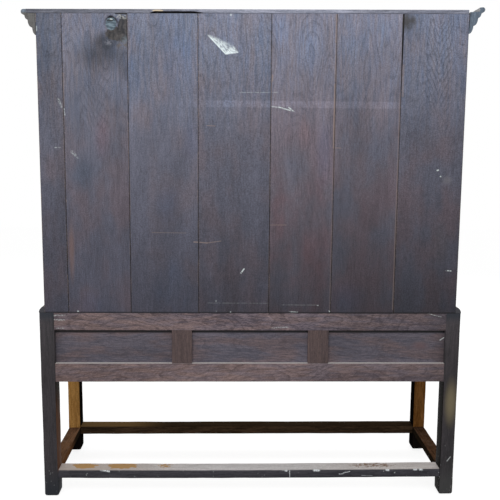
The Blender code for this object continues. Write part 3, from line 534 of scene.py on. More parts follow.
def side_stretcher_oak(place, upward, side):
    """Nearly black, its top worn brown in patches, the left one's less than the right one's."""
    colour, relief = oak(place, Y, shade(32, 26, 19), shade(46, 38, 29), figure=0.2)
    if side == "right":
        colour = blended(rising(coordinate(place, Y), -0.10, 0.10), colour, shade(112, 76, 50))
    worn, _ = oak(place, Y, shade(72, 51, 37), shade(114, 84, 62), figure=0.2)
    patches = rising(mottle(place, (28.0,) * 3), 0.5, 0.62)
    worn = blended(patches * 0.4, worn, shade(112, 90, 74))
    worn = dimmed(worn, rising(coordinate(place, X), -0.2, 0.2) * 0.33 + 0.67)
    return blended(upward, colour, worn), relief


STRETCHER_EASE, TRODDEN_EASE, STRETCHER_WAVER = 0.0035, 0.008, 0.0009
FRONT_RISE = 0.0045
BACK_DEPTH, BACK_DROP, BACK_SAG = 0.008, 0.0035, 0.003
between_legs = {X: (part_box("leg_back_left")[1].x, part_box("leg_back_right")[0].x),
                Y: (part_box("leg_front_left")[1].y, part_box("leg_back_left")[0].y)}
for side, along in (("front", X), ("back", X), ("left", Y), ("right", Y)):
    node = f"stretcher_{side}"
    low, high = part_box(node)
    low[along], high[along] = between_legs[along]
    finish, place, facing = started(node + "_oak")
    upward = rising(coordinate(facing, Z), 0.45, 0.85)
    gloss, ease = 0.0, STRETCHER_EASE
    if side == "back":
        low.y -= BACK_DEPTH
        low.z -= BACK_DROP
        gloss, ease = 0.2, TRODDEN_EASE
        colour, relief = back_stretcher_oak(place, facing, high.z, high.y)
    elif side == "front":
        high.z += FRONT_RISE
        colour, relief = front_stretcher_oak(place, upward)
    else:
        colour, relief = side_stretcher_oak(place, upward, side)
    dressed(finish, colour, relief * -0.1 + 0.85, relief, depth=0.0004, gloss=gloss)
    form = bmesh.new()
    bar(form, low, high, along, ease, STRETCHER_WAVER)
    if side == "back":
        for corner in form.verts:
            corner.co.z -= BACK_SAG * (1.0 - (corner.co.x / high.x) ** 2)
    settle(skin(f"{node}_bar", form, finish), "carcass", "worn_oak", node)


# Back of the cupboard: seven upright oak boards of unlike widths, sawn rough, lapped over each other's edges
# and left without polish. They have gone slate grey, and their heads follow the top board, which has dropped
# to the right. Their tops are painted paler and bluer and their feet darker, partly weathering and partly
# painted light from above. One board has a loose knot.
JOINTS = (-0.7826, -0.5425, -0.3015, -0.0648, 0.2012, 0.4555, 0.6905, 0.7822)
LEAN = 0.0095  # fall of the top towards +X
CASE_LOW, CASE_HIGH = (corner.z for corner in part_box("back_board_1"))
BOARD = 0.018
LAP, LAP_PLAY, LAP_GAP = 0.0076, 0.0005, 0.0002
ARRIS, ARRIS_CUT = 0.0014, 0.0004
KNOT = Vector((0.5133, 1.7955))
KNOT_REACH = Vector((0.0222, 0.0265))
GROOVE, GROOVE_WIDTH = 1.05, 0.16  # shares of the knot's reach
GROOVE_DEPTH, GROOVE_HEAD, KNOT_DOME = 0.0010, 0.0035, 0.002
TORN, TORN_REACH = (0.482, 1.770), (0.045, 0.062)
TORN_DEPTH, TORN_ROUGH = 0.002, 0.003
ROW_PITCH, COLUMN_SHARE = 0.03, 0.12
FINE_X, FINE_Z = (0.455, 0.55), (1.725, CASE_HIGH - 0.002)  # round the knot, rows and columns are finer
FINE_COLUMN, FINE_ROW = 0.002, 0.0025
BOARD_WAVE = 0.0004
GAP = 0.0008
OPEN_GAP, OPEN_GAIN, OPEN_FROM, OPEN_RISE = 0.0009, 0.0034, 1.5, 0.33  # the joint by the leftmost board


def knot_depth(x, z):
    """How far the wood lies below the board's face round the loose knot."""
    offset = Vector(((x - KNOT.x) / KNOT_REACH.x, (z - KNOT.y) / KNOT_REACH.y))
    away = offset.length
    groove = math.exp(-((away - GROOVE) / GROOVE_WIDTH) ** 2)
    hollow = groove * (GROOVE_DEPTH + GROOVE_HEAD * max(0.0, offset.y))
    dome = KNOT_DOME * max(0.0, 1.0 - away)
    torn = max(0.0, 1.0 - abs(x - TORN[0]) / TORN_REACH[0]) * max(0.0, 1.0 - abs(z - TORN[1]) / TORN_REACH[1])
    rough = noise.noise(Vector((x, 0.0, z)) * 130.0) + noise.noise(Vector((x, 3.0, z)) * 300.0) * 0.5
    return hollow - dome + torn * (TORN_DEPTH + TORN_ROUGH * abs(rough))


def spread(low, high, step, dense=None):
    """Places from low to high, a step apart, and closer together in a dense stretch."""
    count = max(2, round((high - low) / step))
    places = [low + (high - low) * i / count for i in range(count + 1)]
    if dense:
        start, stop, fine = dense
        inside = round((stop - start) / fine)
        places = [p for p in places if not start - fine < p < stop + fine or p in (low, high)]
        places += [start + (stop - start) * i / inside for i in range(inside + 1)]
    return sorted(set(places))


def drawn_back(edge, row):
    """How far a board's ragged edge has drawn back: widest at the head of the joint by the leftmost board."""
    reach = GAP
    if edge == JOINTS[1]:
        reach = OPEN_GAP + OPEN_GAIN * max(0.0, (row - OPEN_FROM) / OPEN_RISE)
    tear = noise.noise(Vector((edge * 7.0, 0.0, row * 9.0))) * 0.5
    fray = noise.noise(Vector((edge * 7.0, 5.0, row * 60.0))) * 0.5
    return reach * (0.75 + 0.6 * tear + 0.5 * fray)


def back_board(number, left, right):
    """A lapped board. The ragged gaps beside it come out of its own edges."""
    first, last = left == JOINTS[0], right == JOINTS[-1]
    knotted = left < KNOT.x < right
    columns, rows = spread(0.0, 1.0, COLUMN_SHARE), spread(CASE_LOW, CASE_HIGH, ROW_PITCH)
    if knotted:
        width = right - left
        fine_columns = (*((x - left) / width for x in FINE_X), FINE_COLUMN / width)
        columns = spread(0.0, 1.0, COLUMN_SHARE, fine_columns)
        rows = spread(CASE_LOW, CASE_HIGH, ROW_PITCH, (*FINE_Z, FINE_ROW))
    mid_y, inner_y = back_plane - BOARD / 2, back_plane - BOARD
    rings = []
    for row in rows:
        x0 = left if first else left + drawn_back(left, row)
        x1 = right if last else right - drawn_back(right, row)
        outline = [(x0, mid_y + LAP_GAP), (x0, back_plane - ARRIS), (x0 + ARRIS_CUT, back_plane - ARRIS_CUT)]
        for share in columns:
            x = x0 + ARRIS + (x1 - x0 - 2 * ARRIS) * share
            sag = BOARD_WAVE + BOARD_WAVE * noise.noise(Vector((x * 9.0, number, row * 2.0)))
            outline.append((x, back_plane - sag - (knot_depth(x, row) if knotted else 0.0)))
        outline += [(x1 - ARRIS_CUT, back_plane - ARRIS_CUT), (x1, back_plane - ARRIS), (x1, mid_y - LAP_GAP)]
        outline += [(right, inner_y)] if last else [(right + LAP, mid_y - LAP_GAP), (right + LAP, inner_y)]
        lapped = left + LAP + LAP_PLAY
        outline += [(left, inner_y)] if first else [(lapped, inner_y), (lapped, mid_y + LAP_GAP)]
        lift = (row - CASE_LOW) / (CASE_HIGH - CASE_LOW)
        rings.append([(x, y, row - LEAN * x * lift) for x, y in outline])
    form = bmesh.new()
    loft(form, rings)
    return form


MID_HEIGHT = 1.40
# Part slate-grey weathering and part painted light: paler and bluer at the head, darker at the foot
SLATE_AND_LIGHT_TONES = ((70, 68, 78), (108, 106, 118), (129, 133, 151))  # foot, middle and head
NO_CAST = (1.0, 1.0, 1.0)


def slate_oak(number, left, right, lifts, coolness, warmth, crown=None, chalk=(), tan=(), casts=()):
    """Unpolished slate-grey oak, bluish and pale at the head, darker and browner at the foot, in part painted
    light.
    """
    finish, place, facing = started(f"back_board_{number}_oak")
    shift = number * 3.7
    across, height = coordinate(place, X), coordinate(place, Z)
    figure = rising(height, 1.15, 1.75) * 0.12 + 0.07
    grain, relief = oak(place, Z, (0.89, 0.89, 0.89, 1.0), (1.16, 1.16, 1.16, 1.0), figure, lines=24.0,
                        shift=shift, curl=1.2, wave=1.8, dusty=0.34)
    lower, upper = (height.node("MapRange", {}, {0: height, 1: start, 2: stop})
                    for start, stop in ((CASE_LOW, MID_HEIGHT), (MID_HEIGHT, CASE_HIGH)))
    lower = lower.math("POWER", lower, 1.12)
    foot, middle, head = ((*(channel * lift for channel in shade(*tone)[:3]), 1.0)
                          for lift, tone in zip(lifts, SLATE_AND_LIGHT_TONES))
    colour = blended(upper, blended(lower, foot, middle), head)
    colour = place.node("VectorMath", {"operation": "MULTIPLY"}, {0: colour, 1: grain})
    if crown:
        # The crown of the log: growth lines that hang in points down the board's middle
        centre, start, stop, strength = crown
        off = (across - centre).math("ABSOLUTE", across - centre)
        arch = (height - off * 2.1 + mottle(place, (30.0, 30.0, 12.0), 2.0, shift) * 0.07) * 30.0
        growth = rising(arch.math("FRACT", arch), 0.5, 0.95)
        near = rising(off, 0.070, 0.030) * rising(height, start, start + 0.1)
        near = near * rising(height, stop, stop - 0.06)
        colour = dimmed(colour, 1.0 - growth * near * strength)
    toward_head = rising(height, 1.25, 1.70)
    ticks = rising(mottle(place, (290.0, 290.0, 42.0), 2.0, shift + 1.0), 0.56, 0.68)
    colour = dimmed(colour, 1.0 - ticks * toward_head * 0.16)
    streaks = rising(mottle(place, (95.0, 95.0, 9.0), 2.5, shift + 2.0, 0.8), 0.38, 0.62)
    colour = tinted(colour, (streaks - 0.5) * toward_head + 0.5, (0.90, 0.95, 1.01), (1.09, 1.04, 1.0))
    # Broad lighter and darker patches in the wood, at random.
    broad_mottle = mottle(place, (13.0, 13.0, 4.0), 3.0, shift + 4.0)
    colour = dimmed(colour, broad_mottle * 0.75 + 0.63)
    narrow, wide = mottle(place, (24.0, 24.0, 4.0), 2.0, shift), mottle(place, (9.0, 9.0, 6.0), 4.0, shift)
    clouds = narrow * 0.25 + wide * 0.75
    hue = rising(clouds, 0.40 + coolness, 0.62 + coolness)
    colour = tinted(colour, hue, (0.94, 1.0, 1.05), (1.06, 0.99, 0.96))
    red = rising(clouds, 0.40, 0.66) * rising(height, 1.62, 1.05)
    colour = tinted(colour, red * warmth, NO_CAST, (1.32, 0.94, 0.89))
    # Darker within 4.5 mm of each joint: partly dirt, partly painted shade of the gaps between the boards.
    beside = most(rising(across, left + 0.0045, left + 0.001), rising(across, right - 0.0045, right - 0.001))
    colour = dimmed(colour, 1.0 - beside * 0.33)
    # Painted shade along the boards' feet, just above the top rail.
    colour = dimmed(colour, rising(height, CASE_LOW + 0.002, CASE_LOW + 0.007) * 0.7 + 0.3)
    # A painted band of light across the middle boards, about 1.5 m up.
    light_band = rising(height, 1.502, 1.506) * rising(height, 1.531, 1.526)
    light_band = light_band * rising(across, -0.58, -0.50) * rising(across, 0.3, 0.1)
    colour = dimmed(colour, light_band * 0.25 + 1.0)
    for start, end, width, strength in tan:
        streak = scratch(place, back_plane, start, end, width)
        colour = blended(streak * strength, colour, shade(150, 132, 124))
    rim = most(rising(across, left + 0.004, left + 0.0022), rising(across, right - 0.004, right - 0.0022))
    rubbed = rim * rising(mottle(place, (40.0, 40.0, 14.0), 3.0, shift), 0.46, 0.62)
    colour = blended(rubbed * 0.28, colour, dimmed(shade(150, 130, 122), lower * 0.5 + 0.5))
    flecks = rising(mottle(place, (300.0,) * 3, 1.0, shift), 0.60, 0.68) * beside
    colour = blended(flecks * 0.6, colour, dimmed(shade(176, 160, 152), lower * 0.4 + 0.6))
    broken = rising(mottle(place, (260.0,) * 3), 0.34, 0.56)
    for start, end, width, strength in chalk:
        mark = scratch(place, back_plane, start, end, width)
        colour = blended(mark * broken * strength, colour, shade(212, 222, 222))
    # Painted shade in the recesses: the laps behind the gaps and the knot's hollow turn near black.
    proud = rising(coordinate(place, Y), back_plane - 0.005, back_plane - 0.0012)
    colour = dimmed(colour, proud * 0.92 + 0.08)
    lining, _ = oak(place, Z, shade(92, 66, 42), shade(126, 94, 62))
    colour = blended(rising(coordinate(facing, Y), -0.3, -0.7), colour, lining)
    for centre, reach, cast in casts:
        colour = tinted(colour, patch(place, back_plane, centre, reach), NO_CAST, cast)
    return finish, place, colour, relief


def stained(place, colour):
    """The leftmost board: a pale smudge, and a dark stain at the head of its joint."""
    smudge = patch(place, back_plane, (-0.727, 1.243), (0.028, 0.022))
    colour = blended(smudge * 0.3, colour, shade(134, 132, 136))
    stain = patch(place, back_plane, (-0.553, 1.818), (0.070, 0.060)) * 0.8
    stain = stain + mottle(place, (60.0, 60.0, 40.0), 4.0)
    return blended(rising(stain, 0.58, 1.35) * 0.8, colour, shade(60, 56, 50))


def beyond(place, start, end):
    """How far a place lies to the left of the line from start to end, seen from behind."""
    run = end - start
    side = Vector((run.z, 0.0, -run.x)).normalized()
    offset = place.node("VectorMath", {"operation": "SUBTRACT"}, {0: place, 1: start})
    return place.node("VectorMath", {"operation": "DOT_PRODUCT"}, {0: offset, 1: side}, out=1)


SCRAPE_CORNERS = ((0.1665, 1.7590), (0.1010, 1.6915), (0.0535, 1.6990), (0.0755, 1.7280))


def scraped(place, colour):
    """The middle board: a chalky scrape in the shape of a bent triangle, brightest along its lower edges."""
    peak, heel, toe, brow = (Vector((x, back_plane, z)) for x, z in SCRAPE_CORNERS)
    from_side, from_foot = beyond(place, peak, heel), beyond(place, heel, toe)
    from_tip, from_back = beyond(place, toe, brow), beyond(place, brow, peak)
    scrape = rising(from_side, -0.0015, 0.0005) * rising(from_foot, -0.002, 0.002)
    scrape = scrape * rising(from_back, -0.008, 0.008) * rising(from_tip, -0.002, 0.004)
    scrape = scrape * rising(coordinate(place, Z), 1.7625, 1.7590)
    speckle = rising(mottle(slanted(place, 0.77), (110.0, 200.0, 240.0)), 0.38, 0.58)
    foot_edge = rising(from_foot, 0.013, 0.004) * rising(from_side, 0.06, 0.02)
    edge = most(rising(from_side, 0.0065, 0.0025), foot_edge)
    veil = most(rising(from_side, 0.050, 0.006) * 0.85, rising(from_foot, 0.040, 0.006)) * 0.84 + 0.12
    scrape = scrape * most(edge * (speckle * 0.25 + 0.75), veil * (speckle * 0.65 + 0.35))
    return blended(scrape, colour, shade(236, 248, 250))


# Patches on the torn wood below the knot; the two pale ones are painted highlights on its raised lumps.
LUMPS = (
    ((0.522, 1.7294), (0.024, 0.015), shade(120, 122, 132)),
    ((0.464, 1.7390), (0.018, 0.024), shade(100, 110, 116)),
    ((0.534, 1.7120), (0.026, 0.014), shade(44, 50, 58)),
    ((0.472, 1.7200), (0.034, 0.018), shade(98, 88, 78)),
)


def damaged(place, colour):
    """The board with the loose knot: a damp stain, torn wood and splinters round the knot."""
    tattered = mottle(place, (75.0,) * 3, 4.0)
    cloudy = mottle(place, (26.0, 26.0, 20.0), 4.0) * 0.7 + tattered * 0.3
    damp = patch(place, back_plane, (0.552, 1.692), (0.145, 0.100)) * 0.75
    damp = damp + patch(place, back_plane, (0.525, 1.744), (0.066, 0.044)) * 0.50
    colour = tinted(colour, rising(damp + cloudy * 0.6, 0.30, 1.45), NO_CAST, (0.26, 0.28, 0.29))
    torn = most(patch(place, back_plane, (0.490, 1.760), (0.062, 0.038)),
                patch(place, back_plane, (0.468, 1.785), (0.032, 0.060)))
    fibres = rising(mottle(place, (110.0, 110.0, 60.0), 4.0), 0.36, 0.70)
    bared = blended(fibres, shade(28, 26, 25), shade(76, 72, 69))
    colour = blended(rising(torn + tattered, 0.72, 0.98) * 0.9, colour, bared)
    fine = rising(mottle(place, (150.0, 150.0, 110.0), 3.0), 0.38, 0.58)
    for centre, reach, tone in LUMPS:
        colour = blended(patch(place, back_plane, centre, reach) * fine * 0.75, colour, tone)
    splinters = rising(mottle(place, (170.0,) * 3), 0.46, 0.58)
    splinters = splinters * scratch(place, back_plane, (0.494, 1.8225), (0.462, 1.8200), 0.012)
    colour = blended(splinters * 0.55, colour, shade(186, 188, 186))
    split = scratch(place, back_plane, (0.495, 1.8315), (0.458, 1.8312), 0.0045)
    colour = blended(split, colour, shade(14, 13, 13))
    rubbed = patch(place, back_plane, (0.674, 0.965), (0.016, 0.15))
    colour = blended(rubbed * 0.45, colour, shade(128, 100, 90))
    heart = patch(place, back_plane, KNOT, (0.0245, 0.029))
    rings = rising(mottle(place, (60.0, 60.0, 240.0), 3.0), 0.40, 0.60)
    ringed = blended(rings, shade(70, 84, 94), shade(116, 134, 146))
    colour = blended(rising(heart, 0.05, 0.3), colour, ringed)
    # A painted shadow in the top of the knot's hollow.
    hollow_shadow = patch(place, back_plane, (0.5148, 1.8195), (0.012, 0.0075))
    colour = blended(hollow_shadow, colour, shade(16, 16, 18))
    crack = scratch(place, back_plane, (0.5305, 1.8078), (0.5080, 1.8062), 0.0034)
    colour = blended(crack, colour, shade(18, 20, 22))
    # A painted highlight on the lower lip of the hollow.
    lip_highlight = scratch(place, back_plane, (0.5150, 1.8116), (0.5090, 1.8108), 0.0034)
    return blended(lip_highlight * 0.9, colour, shade(196, 204, 204))


# Lifts are for foot, middle and head. A crown has its middle, foot, head and strength. Chalk and tan marks
# have their ends, width and strength. A cast is a place, its reach, and how its red, green and blue differ.
board_looks = {
    1: {
        "lifts": (0.50, 0.82, 1.05), "coolness": 0.02, "warmth": 0.30, "crown": (-0.678, 1.45, 1.86, 0.30),
        "chalk": (
            ((-0.6885, 1.279), (-0.692, 1.2805), 0.004, 1.0),
            ((-0.7016, 1.2564), (-0.7017, 1.2566), 0.004, 1.0),
            ((-0.7378, 0.9012), (-0.757, 0.8994), 0.0028, 0.9)),
        "tan": (((-0.548, 1.66), (-0.549, 1.55), 0.006, 0.35),),
        "casts": (
            ((-0.655, 1.690), (0.050, 0.110), (1.22, 1.13, 1.06)),
            ((-0.710, 1.000), (0.050, 0.120), (1.12, 1.0, 0.92)))},
    2: {
        "lifts": (0.66, 0.93, 1.03), "coolness": -0.08, "warmth": 0.42, "crown": (-0.40, 1.30, 1.62, 0.12),
        "tan": (
            ((-0.305, 1.36), (-0.325, 1.359), 0.003, 0.4),
            ((-0.5395, 1.56), (-0.5395, 1.20), 0.0045, 0.24),
            ((-0.5395, 1.20), (-0.5395, 0.75), 0.0045, 0.26)),
        "casts": (((-0.360, 0.790), (0.095, 0.090), (0.87, 1.0, 1.13)),)},
    3: {
        "lifts": (0.74, 0.98, 1.02), "coolness": -0.14, "warmth": 0.80,
        "chalk": (
            ((-0.1146, 0.7665), (-0.253, 0.766), 0.002, 0.16),
            ((-0.247, 0.7655), (-0.253, 0.765), 0.003, 0.7),
            ((-0.143, 0.7402), (-0.175, 0.7395), 0.003, 0.5),
            ((-0.069, 1.508), (-0.109, 1.503), 0.0022, 0.8),
            ((-0.092, 1.5065), (-0.138, 1.494), 0.0032, 0.9),
            ((-0.131, 1.505), (-0.150, 1.490), 0.0032, 0.9),
            ((-0.069, 1.5585), (-0.09, 1.559), 0.002, 0.35),
            ((-0.295, 0.744), (-0.298, 0.741), 0.003, 0.7)),
        "tan": (
            ((-0.2985, 1.835), (-0.2985, 1.74), 0.0040, 0.60),
            ((-0.2985, 1.59), (-0.2985, 1.36), 0.0045, 0.65),
            ((-0.2985, 1.36), (-0.2985, 0.75), 0.0045, 0.12),
            ((-0.2985, 1.74), (-0.2985, 1.60), 0.0040, 0.30),
            ((-0.068, 1.0717), (-0.1266, 1.072), 0.0024, 0.35),
            ((-0.07, 1.62), (-0.07, 1.60), 0.004, 0.6)),
        "casts": (
            ((-0.205, 1.715), (0.075, 0.130), (1.15, 1.30, 1.42)),
            ((-0.265, 1.350), (0.040, 0.170), (0.90, 1.02, 1.14)),
            ((-0.095, 1.780), (0.050, 0.080), (1.08, 1.22, 1.36)),
            ((-0.188, 1.413), (0.030, 0.080), (1.32, 1.18, 1.13)))},
    4: {
        "lifts": (0.80, 0.90, 0.95), "coolness": 0.0, "warmth": 0.12,
        "chalk": (
            ((0.0521, 1.5575), (-0.064, 1.5585), 0.0022, 0.30),
            ((0.0408, 0.8891), (0.0296, 0.9044), 0.0038, 0.9),
            ((0.1652, 0.7733), (-0.066, 0.7727), 0.002, 0.14),
            ((0.135, 0.783), (0.135, 0.779), 0.003, 0.4),
            ((0.083, 1.832), (0.083, 1.83), 0.004, 0.8),
            ((0.08, 0.739), (0.077, 0.739), 0.003, 0.7),
            ((0.135, 0.743), (0.135, 0.740), 0.003, 0.4)),
        "tan": (
            ((0.1688, 1.4374), (0.1395, 1.4358), 0.0024, 0.5),
            ((0.196, 1.005), (0.1689, 1.0027), 0.003, 0.6),
            ((0.1689, 1.0027), (0.1165, 1.0105), 0.0024, 0.45))},
    5: {
        "lifts": (0.99, 1.0, 0.87), "coolness": 0.04, "warmth": 0.0,
        "tan": (
            ((0.374, 1.0414), (0.2473, 1.0401), 0.0024, 0.28),
            ((0.2175, 1.0063), (0.20, 1.0055), 0.0035, 0.6)),
        "casts": (
            ((0.300, 0.830), (0.090, 0.140), (0.86, 1.03, 1.15)),
            ((0.265, 1.690), (0.080, 0.110), (0.92, 1.05, 1.18)),
            ((0.225, 1.380), (0.045, 0.100), (0.88, 1.0, 1.13)),
            ((0.305, 1.810), (0.050, 0.060), (1.28, 1.28, 1.30)),
            ((0.438, 1.640), (0.038, 0.160), (0.76, 0.84, 0.91)),
            ((0.315, 1.150), (0.060, 0.100), (0.90, 1.0, 1.10)))},
    6: {
        "lifts": (1.19, 0.94, 0.78), "coolness": -0.01, "warmth": 0.20, "crown": (0.575, 1.36, 1.68, 0.18),
        "chalk": (
            ((0.6634, 1.3374), (0.6530, 1.3270), 0.008, 0.38),
            ((0.6455, 1.3175), (0.6421, 1.3157), 0.004, 0.4),
            ((0.688, 1.495), (0.686, 1.47), 0.003, 0.5),
            ((0.657, 0.7405), (0.654, 0.7405), 0.0032, 0.8)),
        "tan": (((0.688, 1.62), (0.6885, 1.50), 0.004, 0.3),),
        "casts": (
            ((0.611, 0.765), (0.060, 0.070), (0.90, 1.0, 1.10)),
            ((0.635, 1.620), (0.035, 0.110), (1.0, 0.92, 0.86)),
            ((0.470, 1.655), (0.032, 0.095), (0.60, 0.61, 0.62)),
            ((0.553, 1.39), (0.040, 0.11), (1.20, 0.97, 0.94)),
            ((0.625, 1.26), (0.065, 0.09), (0.76, 0.84, 0.88)))},
    7: {
        "lifts": (0.86, 0.76, 0.55), "coolness": 0.0, "warmth": 0.12,
        "chalk": (
            ((0.7249, 1.3533), (0.7067, 1.3534), 0.0028, 0.45),
            ((0.708, 1.528), (0.698, 1.50), 0.0055, 0.42),
            ((0.7785, 1.784), (0.7785, 1.768), 0.0026, 0.5))},
}
board_damage = {1: stained, 4: scraped, 6: damaged}
for number, look in board_looks.items():
    left, right = JOINTS[number - 1], JOINTS[number]
    finish, place, colour, relief = slate_oak(number, left, right, **look)
    if number in board_damage:
        colour = board_damage[number](place, colour)
    dressed(finish, colour, relief * -0.1 + 0.66, relief, depth=0.0009)
    plank = skin(f"back_board_{number}_plank", back_board(number, left, right), finish)
    settle(plank, "carcass", "slate_oak", f"back_board_{number}")


# Inside and sides of the cupboard: two wide side boards housed for the bottom board and the shelf. The sides
# are waxed outside, and the shelf and the bottom are bare oak.
finish_solids(waxed_upright, "side_board_left", "side_board_right")
finish, place, _ = started("bare_oak")
colour, relief = oak(place, X, shade(118, 86, 54), shade(158, 122, 82), figure=0.3, lines=30.0)
colour = dimmed(colour, mottle(place, (6.0,) * 3, 3.0) * 0.7 + 0.6)
bare_oak = dressed(finish, colour, relief * -0.1 + 0.72, relief)
finish_solids(bare_oak, "shelf", "bottom_board")


# Top board: a thin oak board nailed on over the boards' heads and the cornice. It has dropped to the right,
# and a long splinter has broken off the underside of its back edge.
TOP_SWELL = 0.001  # the board is this much thicker than planned
SPLINTER_LEFT, SPLINTER_RIGHT = 0.19, 0.375
SPLINTER_TAPERS = (0.012, 0.006)
SPLINTER_RISE, SPLINTER_ROUGH, SPLINTER_DEPTH = 0.0065, 0.001, 0.016
TOP_STATION = 0.02
FRONT_ARRIS, LIP_ARRIS, LIP_PLAY = 0.002, 0.001, 0.0008
BACK_ARRIS, BACK_ARRIS_IN, BACK_ARRIS_DOWN, BACK_WEAR = 0.003, 0.0008, 0.001, 0.0008
finish, place, facing = started("top_board_oak")
colour, relief = oak(place, X, shade(100, 103, 116), shade(138, 140, 154), figure=0.2, lines=30.0)
across = coordinate(place, X)
colour = dimmed(colour, rising(across, 0.9, -0.6) * 0.65 + 0.68)
rubbed = rising(across, 0.30, 0.20) * rising(across, -0.38, -0.32)
rubbed = rubbed * rising(coordinate(place, Y), back_plane - 0.060, back_plane - 0.004)
colour = dimmed(colour, rubbed * 0.45 + 1.0)
fresh = patch(place, back_plane, (0.345, 1.8425), (0.028, 0.005), deep=0.02)
colour = blended(rising(fresh, 0.1, 0.5), colour, shade(206, 190, 166))
# Painted shade on the downward faces, seen in the notch the splinter left.
under = rising(coordinate(place, Y), back_plane - 0.0035, back_plane - 0.006)
under = under * rising(coordinate(facing, Z), 0.2, -0.2)
colour = blended(under, colour, shade(18, 17, 17))
dressed(finish, colour, relief * -0.1 + 0.7, relief)
low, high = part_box("top_board")
high.z += TOP_SWELL
rings = []
for x in spread(low.x, high.x, TOP_STATION):
    broken = min(1.0, (x - SPLINTER_LEFT) / SPLINTER_TAPERS[0], (SPLINTER_RIGHT - x) / SPLINTER_TAPERS[1])
    broken = max(0.0, broken)
    torn_rise = SPLINTER_RISE + SPLINTER_ROUGH * noise.noise(Vector((x * 60.0, 0.0, 0.0)))
    lip = low.z + LIP_PLAY + broken * torn_rise
    lip_y = high.y - LIP_ARRIS
    torn_y = lip_y - SPLINTER_DEPTH * broken
    worn_z = high.z + BACK_WEAR * noise.noise(Vector((x * 25.0, 4.0, 0.0)))
    outline = [(low.y, low.z), (low.y, high.z - FRONT_ARRIS), (low.y + FRONT_ARRIS, high.z)]
    outline += [(high.y - BACK_ARRIS, high.z), (high.y - BACK_ARRIS_IN, worn_z - BACK_ARRIS_DOWN)]
    outline += [(high.y, worn_z - BACK_ARRIS), (high.y, lip + LIP_ARRIS), (lip_y, lip)]
    outline += [(torn_y, lip), (torn_y - LIP_ARRIS, low.z)]
    rings.append([(x, y, z - LEAN * x) for y, z in outline])
form = bmesh.new()
loft(form, rings)
settle(skin("top_board_plank", form, finish), "carcass", "slate_oak", "top_board")


# Cornice and waist moulding: oak run with moulding planes, mitred at the front corners and nailed to the
# case. The cornice follows the leaning top, and the back end of its left return has sprung up and outward.
CASE_X = 0.7805
FIT = 0.0003
RETURN_STATIONS = (back_plane - 0.002, 0.2, 0.1, 0.0, -0.1)
SPRUNG_OUT, SPRUNG_OUT_GAIN, SPRUNG_UP, SPRUNG_UP_GAIN, SPRUNG_CURVE = 0.003, 0.03, 0.0075, 0.07, 1.5
case_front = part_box("outer_stile_left")[0].y


def quarter(inner, low, reach, rise, steps=10):
    """A convex quarter from the foot at the inner projection up to the full reach."""
    turns = [math.pi / 2 * step / steps for step in range(steps + 1)]
    return [(inner + reach * math.sin(t), low + rise * (1 - math.cos(t))) for t in turns]


def sprung(point, out):
    """Where age has moved a point of the cornice."""
    point = point.copy()
    if point.x < -CASE_X:
        give = max(0.0, (point.y - case_front) / (back_plane - case_front)) ** SPRUNG_CURVE
        point.x -= give * (SPRUNG_OUT + (point.z - cornice_foot) * SPRUNG_OUT_GAIN)
        point.z += give * (SPRUNG_UP + out * SPRUNG_UP_GAIN)
    point.z -= LEAN * max(-CASE_X, min(CASE_X, point.x))
    return point


def surround(name, profile, finish, node, moved=None):
    """A moulding mitred round the cupboard's front and sides. Its profile has projections and heights."""
    path = [(-1, y) for y in RETURN_STATIONS] + [(-1, None), (1, None)]
    path += [(1, y) for y in reversed(RETURN_STATIONS)]
    rings = []
    for side, y in path:
        ring = []
        for out, z in profile:
            point = Vector((side * (CASE_X + FIT + out), case_front - FIT - out if y is None else y, z))
            ring.append(moved(point, out) if moved else point)
        rings.append(ring)
    form = bmesh.new()
    loft(form, rings)
    settle(skin(name, form, finish), "carcass", "moulded_oak", node)


# Each step's inner projection, foot over the cornice's foot, reach and rise
CORNICE_STEPS = ((0.0, -0.003, 0.014, 0.028), (0.0165, 0.025, 0.013, 0.0265), (0.030, 0.0515, 0.0105, 0.0165))
BEAD, BEAD_CENTRE = 0.0095, 0.0435
REBATE_OUT, REBATE_DEPTH = 0.0343, 0.0143
low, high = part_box("cornice")
cornice_foot = low.z
profile = []
for inner, foot, reach, rise in CORNICE_STEPS:
    profile += quarter(inner, low.z + foot, reach, rise)
bead = [math.radians(angle) for angle in range(-90, 91, 15)]
profile += [(BEAD_CENTRE + BEAD * math.cos(t), high.z - BEAD + BEAD * math.sin(t)) for t in bead]
profile += [(REBATE_OUT, high.z), (REBATE_OUT, high.z - REBATE_DEPTH), (0.0, high.z - REBATE_DEPTH)]
finish, place, facing = started("cornice_oak")
colour, relief = oak(place, X, shade(56, 42, 32), shade(98, 76, 56), figure=0.3)
ends, _ = oak(place, Z, shade(80, 92, 106), shade(110, 124, 140), figure=0.2)
brown, _ = oak(place, Z, shade(66, 64, 63), shade(90, 89, 88), figure=0.2)
across = coordinate(place, X)
right_half = rising(across, 0.0, 0.1)
ends = blended(right_half * rising(coordinate(place, Z), 1.836, 1.828), ends, brown)
# Painted shade on the right return's end, beside the gap to the side board.
seam_shade = right_half * rising(across, CASE_X + 0.0062, CASE_X + 0.0022)
ends = blended(seam_shade * 0.85, ends, shade(30, 30, 34))
colour = blended(rising(coordinate(facing, Y), 0.6, 0.9), colour, ends)
# Painted shade on faces turned in towards the case and on top faces under the top board.
inward = rising(coordinate(facing, X) * across, -0.3, -0.6)
tucked_face_shade = most(inward, rising(coordinate(facing, Z), 0.6, 0.9))
colour = blended(tucked_face_shade, colour, shade(44, 46, 52))
dressed(finish, colour, relief * -0.1 + 0.5, relief, depth=0.0005, gloss=0.4)
surround("cornice_run", profile, finish, "cornice", sprung)

